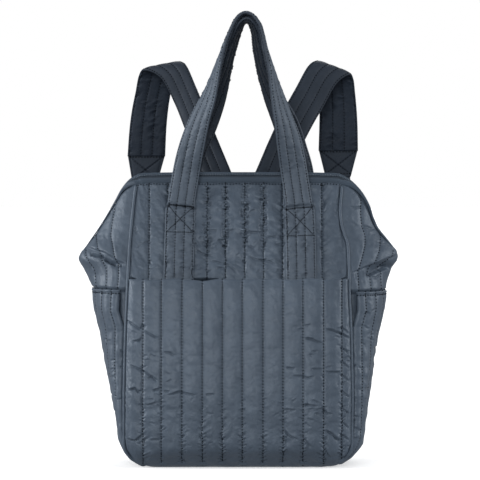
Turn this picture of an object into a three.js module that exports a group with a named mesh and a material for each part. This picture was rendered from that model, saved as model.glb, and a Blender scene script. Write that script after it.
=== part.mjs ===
// A small quilted backpack with a wide zipped mouth, two carrying handles and two folded shoulder straps.
// Millimetres, +Z up. The front faces -Y, +X is to the right of someone looking at the front.
// The origin is the middle of the flat base, on the surface that the bag stands on.

import * as THREE from 'three';

// Body: quilted walls round a hollow
const BASE_HALF_DEPTH = 60;
const SEAM_Z = 10; // lowest run of the corded seam
const SEAM_CORNER_RADIUS = 30;
const PANEL_TOP_Z = 282.6;
const PANEL_CORNER_DROP = 3.4; // the panel's top edge is lower at its two corners
const PIPING_TOP_Z = 278.5;
const PANEL_WALL = 3;
const EDGE_WALL = 2; // where a quilted wall is pressed flat into a seam
const RIB_HEIGHT = 1; // crest of a quilting channel over its stitch line
const SEAM_GAP = 0.7;
const PIPING_RADIUS = 1.9;
const PIPING_SIDES = 6;
const PIPING_TURNS = [18, 36, 54, 72, 90];
const PANEL_BULGE = 4;
const PANEL_BULGE_FROM_Z = 175;
const PANEL_SEAM_STEP = -0.2; // the panel's edge against the seam, measured outwards
const FRONT_ROWS = 9; // rows of faces up a front wall
const BACK_ROWS = 6;

// Quilting lines of the upper front and of the pocket, as x of the first line, spacing and count
const PANEL_QUILT = { first: -91, pitch: 19.2, count: 10 };
const POCKET_QUILT = { first: -96.6, pitch: 19.8, count: 11 };
const CREST_SHARES = [0.28, 0.72]; // where a channel's crest starts and ends between two lines
const BEYOND_EDGE = 1000; // stands for the wall's own edge, left or right

// Front pocket: open along its top edge
const POCKET_TOP_Z = 188;
const POCKET_BULGE = 14;
const POCKET_SEAM_STEP = 2.8; // the pocket's edge lies this far in front of the seam
const POCKET_SWELL = [
  // z, share of the full bulge
  [10, 0],
  [22, 0.45],
  [40, 0.74],
  [70, 0.94],
  [110, 1],
  [150, 0.95],
  [188, 0.78],
];

// Side strip: one piece over the left side, the base and the right side
const GUSSET_WALL = 2.4;
const GUSSET_COLUMNS = 12;
const EDGE_SETBACK = 3.2; // the strip starts this far behind the corded seam
const BASE_SQUARENESS = 5;
const BASE_FLATTENING = 1.04; // presses the crown of the base section flat
const SLOPE_SQUARENESS = 1.25; // a ridge-like section under the rim
const SLOPE_SHARES = [0.225, 0.195, 0.165, 0.13, 0.095, 0.06, 0.03]; // down a slope, top corner to ear
const SLOPE_TOP_DROP = 2; // the strip ends this far below the panel's top
const CORNER_Z = SEAM_Z + SEAM_CORNER_RADIUS;
const CORNER_ROUNDNESS = 2.3;
const CORNER_ROOM = 2.2; // room inside a side pocket round the bottom corner
const CORNER_TURNS = [18, 36, 54, 72]; // degrees round a bottom corner
const BASE_X = [-72, -36, 0, 36, 72];
const BODY_CORE = { xShare: 0.3, lowZ: 90, highZ: 180 }; // what the strip's inner face looks towards

// Side pockets
const SIDE_POCKET_TOP_Z = 177;
const SIDE_POCKET_WALL = 2;
const SIDE_POCKET_CLEARANCE = 0.4;
const SIDE_POCKET_CORE = { yShare: 0.5, lowZ: 60 }; // what a side pocket's inner face looks towards
const SIDE_POCKET_COLUMNS = 10;
const SIDE_POCKET_STEP = 1; // its front and back edges lie this far outside the strip's
const STRIP_SETBACK_IN_POCKET = 3.4; // the strip starts this much further back inside a side pocket

// Half width of the corded seam and half depth of the body
const SEAM_ROWS = [
  // z, left, right, half depth
  [40, 115.5, 111.5, 60],
  [70, 115.5, 111.8, 59],
  [100, 115, 111.5, 56],
  [141, 114, 110.5, 51.5],
  [177, 112.5, 109, 46.5],
  [193, 111.8, 108.3, 40.8],
  [209, 111, 107.5, 34],
  [232, 109.5, 105.3, 25.5],
  [260, 107, 103.4, 15],
  [284, 104, 102.8, 6],
];

// Outline of the sides: half widths, the room inside a side pocket and the tuck below the ear
const SIDE_ROWS = [
  // z, left, right, pocket room, squareness, tuck
  [209, 156.4, 154.2, 0, 1.25, 0],
  [203, 156, 153.4, 0, 1.3, 0.1],
  [195, 153, 150, 0, 1.5, 0.14],
  [187, 150.5, 146, 0, 1.7, 0.04],
  [177, 148.7, 145.4, 6, 1.9, 0],
  [160, 146, 143.6, 13, 2.1, 0],
  [130, 140.5, 139, 15, 2.3, 0],
  [100, 135, 134.3, 14, 2.5, 0],
  [70, 129, 130, 11.5, 2.8, 0],
  [40, 122.6, 125.3, 4, 3.2, 0],
];

// Mouth: two bound rims with a zip between, over the top and down both slopes to the ears
const MOUTH_LINE = [
  // x, z
  [-160.5, 209.5],
  [-151.6, 221],
  [-139.5, 241],
  [-127.8, 261],
  [-117.6, 279],
  [-105.8, 289.6],
  [-88, 292.6],
  [0, 293.2],
  [86, 292.6],
  [104, 289.4],
  [119.6, 277],
  [130, 261],
  [138.5, 241],
  [147.5, 226],
  [158.6, 211.5],
];
const MOUTH_STEPS = 26;
const MOUTH_HEIGHT = 10.2; // height of the rim over the top edge, less towards the ears
const MOUTH_EAR_SHARE = 0.3;
const RIM_CLEARANCE = 0.9; // between the rim and the strip's ridge under it
const RIM_PROFILES = {
  // front and back face as y, and how far the upper edge stays below the outline, as a share of the height
  mouth_band_front: { front: -4.6, back: -2, below: 0.5 },
  zip: { front: -1.6, back: 1.6, below: 0.24 },
  mouth_band_back: { front: 2, back: 4.6, below: 0 },
};

// A strap's section: padded channels side by side, thinner at both edges
const STRAP_CHANNELS = 3;
const STRAP_EDGE_SHARE = 0.22; // half thickness at an edge, as a share of the full thickness

// Carrying handles: quilted straps sewn to the panels, standing up and nested at the top
const HANDLE_WIDTH = 27;
const HANDLE_THICKNESS = 5.2;
const HANDLE_SEWN_THICKNESS = 3.6;
const HANDLE_CLEARANCE = 0.9; // between a sewn end and the panel's ribs
const HANDLE_RIB = 0.7;
const HANDLE_SEWN_RIB = 0.4;
const HANDLE_STEPS = 30;
const HANDLE_FRONT_ROWS = [
  // x, y from the middle or null where it lies on the panel, z, twist in degrees
  [-61.5, null, 168, 0],
  [-61, null, 200, 0],
  [-60.3, null, 232, 0],
  [-59.3, null, 259, 0],
  [-54.6, -13, 290, 4],
  [-49, -14, 317, 20],
  [-40.5, -14, 346, 42],
  [-31, -12, 370, 60],
  [-22.5, -9, 397, 77],
  [-15.5, -6, 419, 84],
  [-7.5, -3, 437.5, 88],
  [-0.8, -1, 448.6, 89],
  [6.3, 0, 452.3, 90],
  [13.6, -1, 448.2, 89],
  [20, -3, 437.5, 88],
  [25, -6, 419, 84],
  [31.5, -9, 394, 77],
  [39.6, -12.5, 362, 56],
  [44.9, -14, 342, 42],
  [49.5, -14, 320, 20],
  [54.2, -13, 290, 4],
  [59, null, 257, 0],
  [60, null, 230, 0],
  [60.5, null, 200, 0],
  [60.5, null, 168, 0],
];
const HANDLE_BACK_ROWS = [
  // x, y, z, twist
  [-59, null, 228, 0],
  [-58, null, 256, 0],
  [-54, 15, 290, 2],
  [-46.5, 16, 317, 6],
  [-35, 17.5, 342, 22],
  [-23.8, 17.5, 368, 48],
  [-14, 14, 397, 74],
  [-7.6, 9, 417, 84],
  [-0.8, 5, 433.5, 88],
  [2.4, 2, 440.8, 89],
  [6.8, 1, 444.4, 90],
  [11.2, 2, 440.8, 89],
  [14.2, 5, 433.5, 88],
  [17.4, 9, 417, 84],
  [23, 14, 395, 74],
  [34, 17.5, 368, 48],
  [46, 17.5, 342, 22],
  [54, 16, 317, 6],
  [61, 15, 290, 2],
  [62, null, 256, 0],
  [62.5, null, 228, 0],
];

// Shoulder straps: padded strips that rise from the back, fold over and hang down behind,
// as the two edges of the strip at each section
const STRAP_THICKNESS = 6;
const STRAP_RIB = 0.9; // depth of the stitch lines between its three channels
const STRAP_STEPS = 22;
const STRAP_ROWS = {
  // inner edge x, y, z, then outer edge x, y, z
  left: [
    [-4, 14.5, 281, -29, 18, 270],
    [-9.5, 22, 294.5, -36, 24.5, 283.5],
    [-22.4, 37, 325, -47.5, 41, 313],
    [-34.5, 48, 354, -57.5, 54, 340],
    [-45, 58, 379, -67, 65, 363],
    [-52.5, 67, 396, -80, 72, 384],
    [-57.5, 77, 400.5, -97.5, 81, 393.5],
    [-62.5, 87, 397, -103, 91, 388],
    [-67.5, 92, 383, -105.8, 95, 373],
    [-71.5, 94, 362, -108.5, 96, 355],
    [-74, 94, 338, -110.5, 95, 335],
    [-75.2, 93, 311, -112.3, 94, 311],
  ],
  right: [
    [9, 14.5, 281, 37, 19.5, 266],
    [16, 22, 294, 45, 25.5, 279],
    [30, 37, 326, 59, 40, 311],
    [43.5, 48, 354, 72.5, 52, 337.5],
    [57, 58, 378, 85, 63, 359],
    [68, 67, 396, 98, 71, 380],
    [75.5, 77, 402, 111, 80, 389],
    [78.5, 87, 398, 115, 90, 384],
    [79.7, 92, 384, 116, 94, 373],
    [80.2, 94, 362, 117, 95, 356],
    [79.8, 94, 340, 117.8, 94, 338],
    [79, 93, 317, 118.1, 93, 317],
  ],
};
const TIP_LENGTH = 26;
const TIP_END_WIDTH = 26;
const TIP_THICKNESS = 3.4;
const WEBBING_WIDTH = 25;
const WEBBING_THICKNESS = 2;
const WEBBING_STEPS = 12;
const WEBBING_EASE = 60; // length over which the webbing bends at each end
const WEBBING_END = { x: 94, y: 62.4, z: 36 };
const PIECE_GAP = 0.4;

// One plain slider with its pull, behind the right slope
const SLIDER = { x: 132.4, y: 6.7, z: 246.4, width: 5, depth: 3, height: 20, slope: 23 };

const CLOTH = { roughness: 0.55, metalness: 0 };
const COLOURS = {
  body: 0x4e5a67,
  strap: 0x2f3742,
  handle: 0x55616e,
  trim: 0x3c4651,
  zip: 0x252b33,
};

// Straight-line reading of a table whose first column rises or falls
function lookup(rows, key, column) {
  const rising = rows[rows.length - 1][0] > rows[0][0];
  const ordered = rising ? rows : [...rows].reverse();
  if (key <= ordered[0][0]) {
    return ordered[0][column];
  }
  for (let k = 1; k < ordered.length; k += 1) {
    const low = ordered[k - 1];
    const high = ordered[k];
    if (key <= high[0]) {
      const share = (key - low[0]) / (high[0] - low[0]);
      return low[column] + (high[column] - low[column]) * share;
    }
  }
  return ordered[ordered.length - 1][column];
}

const sideColumn = (sign) => (sign < 0 ? 1 : 2);
const seamHalf = (z, sign) => lookup(SEAM_ROWS, z, sideColumn(sign));
const halfDepth = (z) => lookup(SEAM_ROWS, z, 3);
const clamp01 = (value) => Math.min(1, Math.max(0, value));

// A closed body from vertices and triangles, turned so that its faces point out
function closedBody(points, triangles) {
  let volume = 0;
  const cross = new THREE.Vector3();
  for (const [a, b, c] of triangles) {
    volume += points[a].dot(cross.crossVectors(points[b], points[c]));
  }
  const index = triangles.flatMap(([a, b, c]) => (volume < 0 ? [a, c, b] : [a, b, c]));
  const geometry = new THREE.BufferGeometry();
  geometry.setAttribute('position', new THREE.Float32BufferAttribute(points.flatMap((p) => p.toArray()), 3));
  geometry.setIndex(index);
  geometry.computeVertexNormals();
  return geometry;
}

// A wall between two grids of points that have the same rows and columns
function wallBody(outer, inner) {
  const rows = outer.length;
  const columns = outer[0].length;
  const points = [...outer.flat(), ...inner.flat()];
  const out = (r, c) => r * columns + c;
  const inn = (r, c) => rows * columns + r * columns + c;
  const triangles = [];
  const quad = (a, b, c, d) => triangles.push([a, b, c], [a, c, d]);
  for (let r = 0; r + 1 < rows; r += 1) {
    for (let c = 0; c + 1 < columns; c += 1) {
      quad(out(r, c), out(r, c + 1), out(r + 1, c + 1), out(r + 1, c));
      quad(inn(r, c), inn(r + 1, c), inn(r + 1, c + 1), inn(r, c + 1));
    }
    const last = columns - 1;
    quad(out(r, 0), out(r + 1, 0), inn(r + 1, 0), inn(r, 0));
    quad(out(r, last), inn(r, last), inn(r + 1, last), out(r + 1, last));
  }
  for (let c = 0; c + 1 < columns; c += 1) {
    const last = rows - 1;
    quad(out(0, c), inn(0, c), inn(0, c + 1), out(0, c + 1));
    quad(out(last, c), out(last, c + 1), inn(last, c + 1), inn(last, c));
  }
  return closedBody(points, triangles);
}

// A solid through rings of points that have the same count, with a fan at each end
function ringBody(rings) {
  const count = rings[0].length;
  const points = rings.flat();
  const triangles = [];
  for (let r = 0; r + 1 < rings.length; r += 1) {
    for (let k = 0; k < count; k += 1) {
      const next = (k + 1) % count;
      const a = r * count + k;
      const b = r * count + next;
      triangles.push([a, b, b + count], [a, b + count, a + count]);
    }
  }
  for (const [ring, flip] of [[0, true], [rings.length - 1, false]]) {
    const middle = rings[ring].reduce((sum, p) => sum.add(p), new THREE.Vector3()).divideScalar(count);
    const hub = points.push(middle) - 1;
    for (let k = 0; k < count; k += 1) {
      const a = ring * count + k;
      const b = ring * count + ((k + 1) % count);
      triangles.push(flip ? [hub, b, a] : [hub, a, b]);
    }
  }
  return closedBody(points, triangles);
}

// The same grid moved inwards by a wall's thickness, along the grid's own normals
function insetGrid(grid, thickness, towards) {
  const rows = grid.length;
  const columns = grid[0].length;
  return grid.map((row, r) => row.map((point, c) => {
    const along = grid[Math.min(r + 1, rows - 1)][c].clone().sub(grid[Math.max(r - 1, 0)][c]);
    const across = row[Math.min(c + 1, columns - 1)].clone().sub(row[Math.max(c - 1, 0)]);
    const normal = along.cross(across).normalize();
    const inward = towards(point).sub(point);
    if (normal.dot(inward) < 0) {
      normal.negate();
    }
    return point.clone().addScaledVector(normal, thickness);
  }));
}

function mesh(name, geometry, colour) {
  const made = new THREE.Mesh(geometry, new THREE.MeshStandardMaterial({ color: colour, ...CLOTH }));
  made.name = name;
  return made;
}

// Front and back panels and the front pocket

// Lowest z of a panel at x: straight, with a quarter round at each bottom corner
function panelBottom(x) {
  const sign = x < 0 ? -1 : 1;
  const cornerStart = seamHalf(0, sign) - PIPING_RADIUS - SEAM_GAP - SEAM_CORNER_RADIUS;
  const into = Math.min(SEAM_CORNER_RADIUS, Math.max(0, Math.abs(x) - cornerStart));
  const rise = SEAM_CORNER_RADIUS - Math.sqrt(SEAM_CORNER_RADIUS ** 2 - into ** 2);
  return SEAM_Z + PIPING_RADIUS + SEAM_GAP + rise;
}

// Columns of a quilted panel: the stitch lines, two crests between each pair, and the two edges
function quiltColumns(quilt) {
  const lines = [-BEYOND_EDGE];
  for (let k = 0; k < quilt.count; k += 1) {
    lines.push(quilt.first + k * quilt.pitch);
  }
  lines.push(BEYOND_EDGE);
  const columns = [];
  for (let k = 0; k + 1 < lines.length; k += 1) {
    for (const share of [0, ...CREST_SHARES]) {
      columns.push({ from: lines[k], to: lines[k + 1], share, crest: share > 0 ? 1 : 0 });
    }
  }
  columns.push({ from: BEYOND_EDGE, to: BEYOND_EDGE, share: 0, crest: 0 });
  return columns;
}

function panelEdge(z, sign) {
  return sign * (seamHalf(z, sign) - PIPING_RADIUS - SEAM_GAP);
}

function columnX(column, z) {
  const ends = [column.from, column.to].map((x) => Math.min(panelEdge(z, 1), Math.max(panelEdge(z, -1), x)));
  return ends[0] + (ends[1] - ends[0]) * column.share;
}

// How far the upper front stands out from the plane of its seam
function panelBulge(x, z) {
  const edge = panelEdge(z, x < 0 ? -1 : 1);
  const rise = clamp01((z - PANEL_BULGE_FROM_Z) / (PANEL_TOP_Z - PANEL_BULGE_FROM_Z));
  return PANEL_BULGE * (1 - (x / edge) ** 2) * Math.sin(Math.PI * rise);
}

function pocketBulge(x, z) {
  const edge = panelEdge(z, x < 0 ? -1 : 1);
  return POCKET_BULGE * (1 - Math.abs(x / edge) ** 3) * lookup(POCKET_SWELL, z, 1);
}

// A quilted wall in front of or behind the body: reach gives its outer face, measured from the seam
function quiltedPanel(quilt, rows, topAt, facing, reach) {
  const columns = quiltColumns(quilt);
  const grids = [[], []];
  for (let r = 0; r <= rows; r += 1) {
    const outerRow = [];
    const innerRow = [];
    columns.forEach((column, c) => {
      const lowest = panelBottom(columnX(column, SEAM_Z));
      const z = lowest + (topAt(columnX(column, PANEL_TOP_Z)) - lowest) * (r / rows);
      const x = columnX(column, z);
      const atEdge = c === 0 || c === columns.length - 1 || r === 0;
      const wall = atEdge ? EDGE_WALL : PANEL_WALL - (1 - column.crest) * RIB_HEIGHT;
      const rib = atEdge ? 0 : RIB_HEIGHT * column.crest;
      const face = halfDepth(z) + reach(x, z) + rib;
      outerRow.push(new THREE.Vector3(x, facing * face, z));
      innerRow.push(new THREE.Vector3(x, facing * (face - wall), z));
    });
    grids[0].push(outerRow);
    grids[1].push(innerRow);
  }
  return wallBody(grids[0], grids[1]);
}

function panelTop(x) {
  const share = x / panelEdge(PANEL_TOP_Z, x < 0 ? -1 : 1);
  return PANEL_TOP_Z - PANEL_CORNER_DROP * share ** 8;
}

const pocketTop = () => POCKET_TOP_Z;
const panelReach = (x, z) => PANEL_SEAM_STEP + panelBulge(x, z);
const pocketReach = (x, z) => POCKET_SEAM_STEP + pocketBulge(x, z);

// Side strip and side pockets, as stations along the outline

// A station: the seam point and the outline point in x and z, the half depth and the section's form
function sideStation(z, sign) {
  return {
    seam: [sign * seamHalf(z, sign), z],
    outline: [sign * lookup(SIDE_ROWS, z, sideColumn(sign)), z],
    depth: halfDepth(z),
    room: lookup(SIDE_ROWS, z, 3),
    squareness: lookup(SIDE_ROWS, z, 4),
    tuck: lookup(SIDE_ROWS, z, 5),
  };
}

function cornerStation(turn, sign) {
  const angle = THREE.MathUtils.degToRad(turn);
  const centre = seamHalf(CORNER_Z, sign) - SEAM_CORNER_RADIUS;
  const outlineReach = lookup(SIDE_ROWS, CORNER_Z, sideColumn(sign)) - centre;
  const round = 2 / CORNER_ROUNDNESS;
  const seamX = centre + SEAM_CORNER_RADIUS * Math.cos(angle);
  const outlineX = centre + outlineReach * Math.cos(angle) ** round;
  const share = turn / 90;
  return {
    seam: [sign * seamX, CORNER_Z - SEAM_CORNER_RADIUS * Math.sin(angle)],
    outline: [sign * outlineX, CORNER_Z - CORNER_Z * Math.sin(angle) ** round],
    depth: BASE_HALF_DEPTH,
    room: CORNER_ROOM,
    squareness: lookup(SIDE_ROWS, CORNER_Z, 4) * (1 - share) + BASE_SQUARENESS * share,
    tuck: 0,
  };
}

function baseStation(x) {
  return {
    seam: [x, SEAM_Z],
    outline: [x, 0],
    depth: BASE_HALF_DEPTH,
    room: 0,
    squareness: BASE_SQUARENESS,
    tuck: 0,
  };
}

// The mouth's outline as a curve, with the outward direction in x and z
const mouthCurve = new THREE.CatmullRomCurve3(MOUTH_LINE.map(([x, z]) => new THREE.Vector3(x, 0, z)));

function mouthFrame(t) {
  const point = mouthCurve.getPointAt(t);
  const tangent = mouthCurve.getTangentAt(t);
  const outward = new THREE.Vector3(-tangent.z, 0, tangent.x);
  const earToTop = clamp01((point.z - MOUTH_LINE[0][1]) / (PANEL_TOP_Z - MOUTH_LINE[0][1]));
  const height = MOUTH_HEIGHT * (MOUTH_EAR_SHARE + (1 - MOUTH_EAR_SHARE) * earToTop);
  return { point, outward, height };
}

// A station on a slope, under the rim
function slopeStation(share, sign) {
  const { point, outward, height } = mouthFrame(sign < 0 ? share : 1 - share);
  const ridge = point.clone().addScaledVector(outward, -(height + RIM_CLEARANCE));
  const z = Math.min(ridge.z, PANEL_TOP_Z - SLOPE_TOP_DROP);
  return {
    seam: [sign * seamHalf(z, sign), z],
    outline: [ridge.x, ridge.z],
    depth: halfDepth(z),
    room: 0,
    squareness: SLOPE_SQUARENESS,
    tuck: 0,
  };
}

// A point of a station's section: t runs from -1 at the front seam to 1 at the back seam
function sectionPoint(station, t, setback, edgeStep, outlineStep, rib) {
  const angle = (Math.PI / 2) * t;
  const power = 2 / station.squareness;
  const y = Math.sign(t) * Math.abs(Math.sin(angle)) ** power * (station.depth - setback);
  const flat = station.squareness === BASE_SQUARENESS ? BASE_FLATTENING : 1;
  const lift = Math.min(1, flat * Math.max(0, Math.cos(angle)) ** power);
  const [dx, dz] = [station.outline[0] - station.seam[0], station.outline[1] - station.seam[1]];
  const length = Math.hypot(dx, dz);
  const tucked = 1 - station.tuck * Math.sin(Math.PI * Math.abs(t));
  const out = edgeStep + (length - edgeStep - outlineStep) * lift * tucked + rib;
  return new THREE.Vector3(station.seam[0] + (dx / length) * out, y, station.seam[1] + (dz / length) * out);
}

function sideLevels(sign, corners) {
  const levels = SIDE_ROWS.map((row) => sideStation(row[0], sign));
  return [...levels, ...corners.map((turn) => cornerStation(turn, sign))];
}

function gussetBody() {
  const half = (sign) => [
    ...SLOPE_SHARES.map((share) => slopeStation(share, sign)),
    ...sideLevels(sign, CORNER_TURNS),
  ];
  const stations = [
    ...half(-1),
    baseStation(-seamHalf(CORNER_Z, -1) + SEAM_CORNER_RADIUS),
    ...BASE_X.map(baseStation),
    baseStation(seamHalf(CORNER_Z, 1) - SEAM_CORNER_RADIUS),
    ...half(1).reverse(),
  ];
  const outer = stations.map((station) => {
    const row = [];
    for (let c = 0; c <= GUSSET_COLUMNS; c += 1) {
      const t = -1 + (2 * c) / GUSSET_COLUMNS;
      const onSide = station.squareness < BASE_SQUARENESS && station.squareness > SLOPE_SQUARENESS;
      const rib = onSide && c % 2 === 1 ? RIB_HEIGHT : 0;
      const behindPocket = station.room > 0 ? station.room + SIDE_POCKET_WALL + SIDE_POCKET_CLEARANCE : 0;
      const setback = EDGE_SETBACK + (station.room > 0 ? STRIP_SETBACK_IN_POCKET : 0);
      row.push(sectionPoint(station, t, setback, 0, behindPocket, rib));
    }
    return row;
  });
  const inside = (point) => new THREE.Vector3(
    point.x * BODY_CORE.xShare,
    0,
    THREE.MathUtils.clamp(point.z, BODY_CORE.lowZ, BODY_CORE.highZ),
  );
  return wallBody(outer, insetGrid(outer, GUSSET_WALL, inside));
}

function sidePocketBody(sign) {
  const stations = sideLevels(sign, CORNER_TURNS).filter(
    (station) => station.seam[1] <= SIDE_POCKET_TOP_Z,
  );
  const outer = stations.map((station) => {
    const row = [];
    for (let c = 0; c <= SIDE_POCKET_COLUMNS; c += 1) {
      const t = -1 + (2 * c) / SIDE_POCKET_COLUMNS;
      const rib = c % 2 === 1 ? RIB_HEIGHT : 0;
      row.push(sectionPoint(station, t, EDGE_SETBACK, SIDE_POCKET_STEP, RIB_HEIGHT, rib));
    }
    return row;
  });
  const inside = (point) => new THREE.Vector3(
    0,
    point.y * SIDE_POCKET_CORE.yShare,
    Math.max(point.z, SIDE_POCKET_CORE.lowZ),
  );
  return wallBody(outer, insetGrid(outer, SIDE_POCKET_WALL, inside));
}

// Corded seam round a panel
function pipingBody(facing) {
  const levels = SEAM_ROWS.map(([z]) => Math.min(z, PIPING_TOP_Z)).reverse();
  const down = (sign) => [
    ...levels.map((z) => [sign * seamHalf(z, sign), z, halfDepth(z)]),
    ...PIPING_TURNS.map((turn) => [...cornerStation(turn, sign).seam, BASE_HALF_DEPTH]),
  ];
  const route = [...down(-1), ...down(1).reverse()].map(([x, z, y]) => new THREE.Vector3(x, facing * y, z));
  const curve = new THREE.CatmullRomCurve3(route, false, 'chordal');
  const rings = route.map((point, k) => {
    const tangent = curve.getTangent(k / (route.length - 1));
    const side = new THREE.Vector3(0, 1, 0).cross(tangent).normalize();
    const front = tangent.clone().cross(side).normalize();
    const ring = [];
    for (let s = 0; s < PIPING_SIDES; s += 1) {
      const angle = (2 * Math.PI * s) / PIPING_SIDES;
      const offset = side.clone().multiplyScalar(Math.cos(angle)).addScaledVector(front, Math.sin(angle));
      ring.push(point.clone().addScaledVector(offset, PIPING_RADIUS));
    }
    return ring;
  });
  return ringBody(rings);
}

// Rims and zip of the mouth
function rimBody(profile) {
  const rings = [];
  for (let k = 0; k <= MOUTH_STEPS; k += 1) {
    const { point, outward, height } = mouthFrame(k / MOUTH_STEPS);
    const at = (y, below) => point.clone().addScaledVector(outward, -below * height).setY(y);
    rings.push([
      at(profile.front, 1),
      at(profile.front, profile.below),
      at(profile.back, profile.below),
      at(profile.back, 1),
    ]);
  }
  return ringBody(rings);
}

// One section of a flat strap, from its middle, its width and its outer direction
function strapRing(centre, across, outer, width, thickness, rib) {
  const ring = [];
  const steps = STRAP_CHANNELS * 2;
  for (const face of [1, -1]) {
    for (let k = 0; k <= steps; k += 1) {
      const share = face > 0 ? k / steps : 1 - k / steps;
      const edge = k === 0 || k === steps;
      const valley = k % 2 === 0;
      const lift = edge ? thickness * STRAP_EDGE_SHARE : thickness / 2 - (valley ? rib : 0);
      ring.push(
        centre.clone().addScaledVector(across, (share - 0.5) * width).addScaledVector(outer, face * lift),
      );
    }
  }
  return ring;
}

// The panel's outermost point under a strap, so that the strap lies on the ribs
function panelUnder(x, z, facing) {
  let reach = 0;
  for (const offset of [-0.5, -0.25, 0, 0.25, 0.5]) {
    reach = Math.max(reach, panelReach(x + offset * HANDLE_WIDTH, z));
  }
  return facing * (halfDepth(z) + reach + RIB_HEIGHT + HANDLE_CLEARANCE + HANDLE_SEWN_THICKNESS / 2);
}

function handleBody(rows, facing) {
  const points = rows.map(([x, y, z]) => new THREE.Vector3(x, y === null ? panelUnder(x, z, facing) : y, z));
  const curve = new THREE.CatmullRomCurve3(points);
  const rings = [];
  for (let k = 0; k <= HANDLE_STEPS; k += 1) {
    const t = k / HANDLE_STEPS;
    const centre = curve.getPoint(t);
    const tangent = curve.getTangent(t);
    const row = t * (rows.length - 1);
    const low = Math.min(Math.floor(row), rows.length - 2);
    const twist = THREE.MathUtils.degToRad(
      THREE.MathUtils.lerp(rows[low][3], rows[low + 1][3], row - low),
    );
    const outward = new THREE.Vector3(-tangent.z, 0, tangent.x).normalize();
    const outer = new THREE.Vector3(0, facing * Math.cos(twist), 0).addScaledVector(outward, Math.sin(twist));
    outer.addScaledVector(tangent, -outer.dot(tangent)).normalize();
    const across = outer.clone().cross(tangent);
    const sewn = rows[Math.round(row)][1] === null;
    const thickness = sewn ? HANDLE_SEWN_THICKNESS : HANDLE_THICKNESS;
    const rib = sewn ? HANDLE_SEWN_RIB : HANDLE_RIB;
    rings.push(strapRing(centre, across, outer, HANDLE_WIDTH, thickness, rib));
  }
  return ringBody(rings);
}

// Shoulder strap, its tapered tip and the webbing down to the lower back
function strapFrame(rows, t) {
  const edge = (first) => new THREE.CatmullRomCurve3(
    rows.map((row) => new THREE.Vector3(row[first], row[first + 1], row[first + 2])),
  );
  const [inner, outer] = [edge(0), edge(3)];
  const [innerPoint, outerPoint] = [inner.getPoint(t), outer.getPoint(t)];
  const across = innerPoint.clone().sub(outerPoint);
  const width = across.length();
  across.normalize();
  const tangent = inner.getTangent(t).add(outer.getTangent(t));
  tangent.addScaledVector(across, -tangent.dot(across)).normalize();
  const centre = innerPoint.clone().add(outerPoint).multiplyScalar(0.5);
  return { centre, tangent, across, width, outer: across.clone().cross(tangent) };
}

function strapBody(rows) {
  const rings = [];
  for (let k = 0; k <= STRAP_STEPS; k += 1) {
    const { centre, across, width, outer } = strapFrame(rows, k / STRAP_STEPS);
    rings.push(strapRing(centre, across, outer, width, STRAP_THICKNESS, STRAP_RIB));
  }
  return ringBody(rings);
}

function tipBody(rows) {
  const { centre, tangent, across, width, outer } = strapFrame(rows, 1);
  const rings = [0, 0.5, 1].map((share) => {
    const at = centre.clone().addScaledVector(tangent, PIECE_GAP + share * TIP_LENGTH);
    return strapRing(at, across, outer, THREE.MathUtils.lerp(width, TIP_END_WIDTH, share), TIP_THICKNESS, 0);
  });
  return ringBody(rings);
}

function webbingBody(rows, sign) {
  const { centre, tangent, across } = strapFrame(rows, 1);
  const start = centre.clone().addScaledVector(tangent, TIP_LENGTH + 2 * PIECE_GAP);
  const end = new THREE.Vector3(sign * WEBBING_END.x, WEBBING_END.y, WEBBING_END.z);
  const hang = start.clone().addScaledVector(tangent, WEBBING_EASE);
  const lie = end.clone().add(new THREE.Vector3(0, 0, WEBBING_EASE));
  const curve = new THREE.CubicBezierCurve3(start, hang, lie, end);
  const rings = [];
  for (let k = 0; k <= WEBBING_STEPS; k += 1) {
    const at = curve.getPoint(k / WEBBING_STEPS);
    const along = curve.getTangent(k / WEBBING_STEPS);
    const wide = across.clone().addScaledVector(along, -across.dot(along)).normalize();
    const outer = wide.clone().cross(along).normalize();
    const corner = (side, face) => at
      .clone()
      .addScaledVector(wide, (side * WEBBING_WIDTH) / 2)
      .addScaledVector(outer, (face * WEBBING_THICKNESS) / 2);
    rings.push([corner(-1, 1), corner(1, 1), corner(1, -1), corner(-1, -1)]);
  }
  return ringBody(rings);
}

const backpack = new THREE.Group();
backpack.name = 'quilted_mini_backpack';

const panels = {
  front_panel: quiltedPanel(PANEL_QUILT, FRONT_ROWS, panelTop, -1, panelReach),
  back_panel: quiltedPanel(PANEL_QUILT, BACK_ROWS, panelTop, 1, panelReach),
  front_pocket: quiltedPanel(POCKET_QUILT, FRONT_ROWS, pocketTop, -1, pocketReach),
};
for (const [name, geometry] of Object.entries(panels)) {
  backpack.add(mesh(name, geometry, COLOURS.body));
}
backpack.add(mesh('gusset', gussetBody(), COLOURS.body));
backpack.add(mesh('piping_front', pipingBody(-1), COLOURS.trim));
backpack.add(mesh('piping_back', pipingBody(1), COLOURS.trim));

for (const [name, profile] of Object.entries(RIM_PROFILES)) {
  backpack.add(mesh(name, rimBody(profile), name === 'zip' ? COLOURS.zip : COLOURS.trim));
}

backpack.add(mesh('handle_front', handleBody(HANDLE_FRONT_ROWS, -1), COLOURS.handle));
backpack.add(mesh('handle_back', handleBody(HANDLE_BACK_ROWS, 1), COLOURS.handle));

for (const [side, sign] of [['left', -1], ['right', 1]]) {
  backpack.add(mesh(`side_pocket_${side}`, sidePocketBody(sign), COLOURS.body));
  backpack.add(mesh(`shoulder_strap_${side}`, strapBody(STRAP_ROWS[side]), COLOURS.strap));
  backpack.add(mesh(`strap_tip_${side}`, tipBody(STRAP_ROWS[side]), COLOURS.strap));
  backpack.add(mesh(`strap_webbing_${side}`, webbingBody(STRAP_ROWS[side], sign), COLOURS.strap));
}

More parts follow.
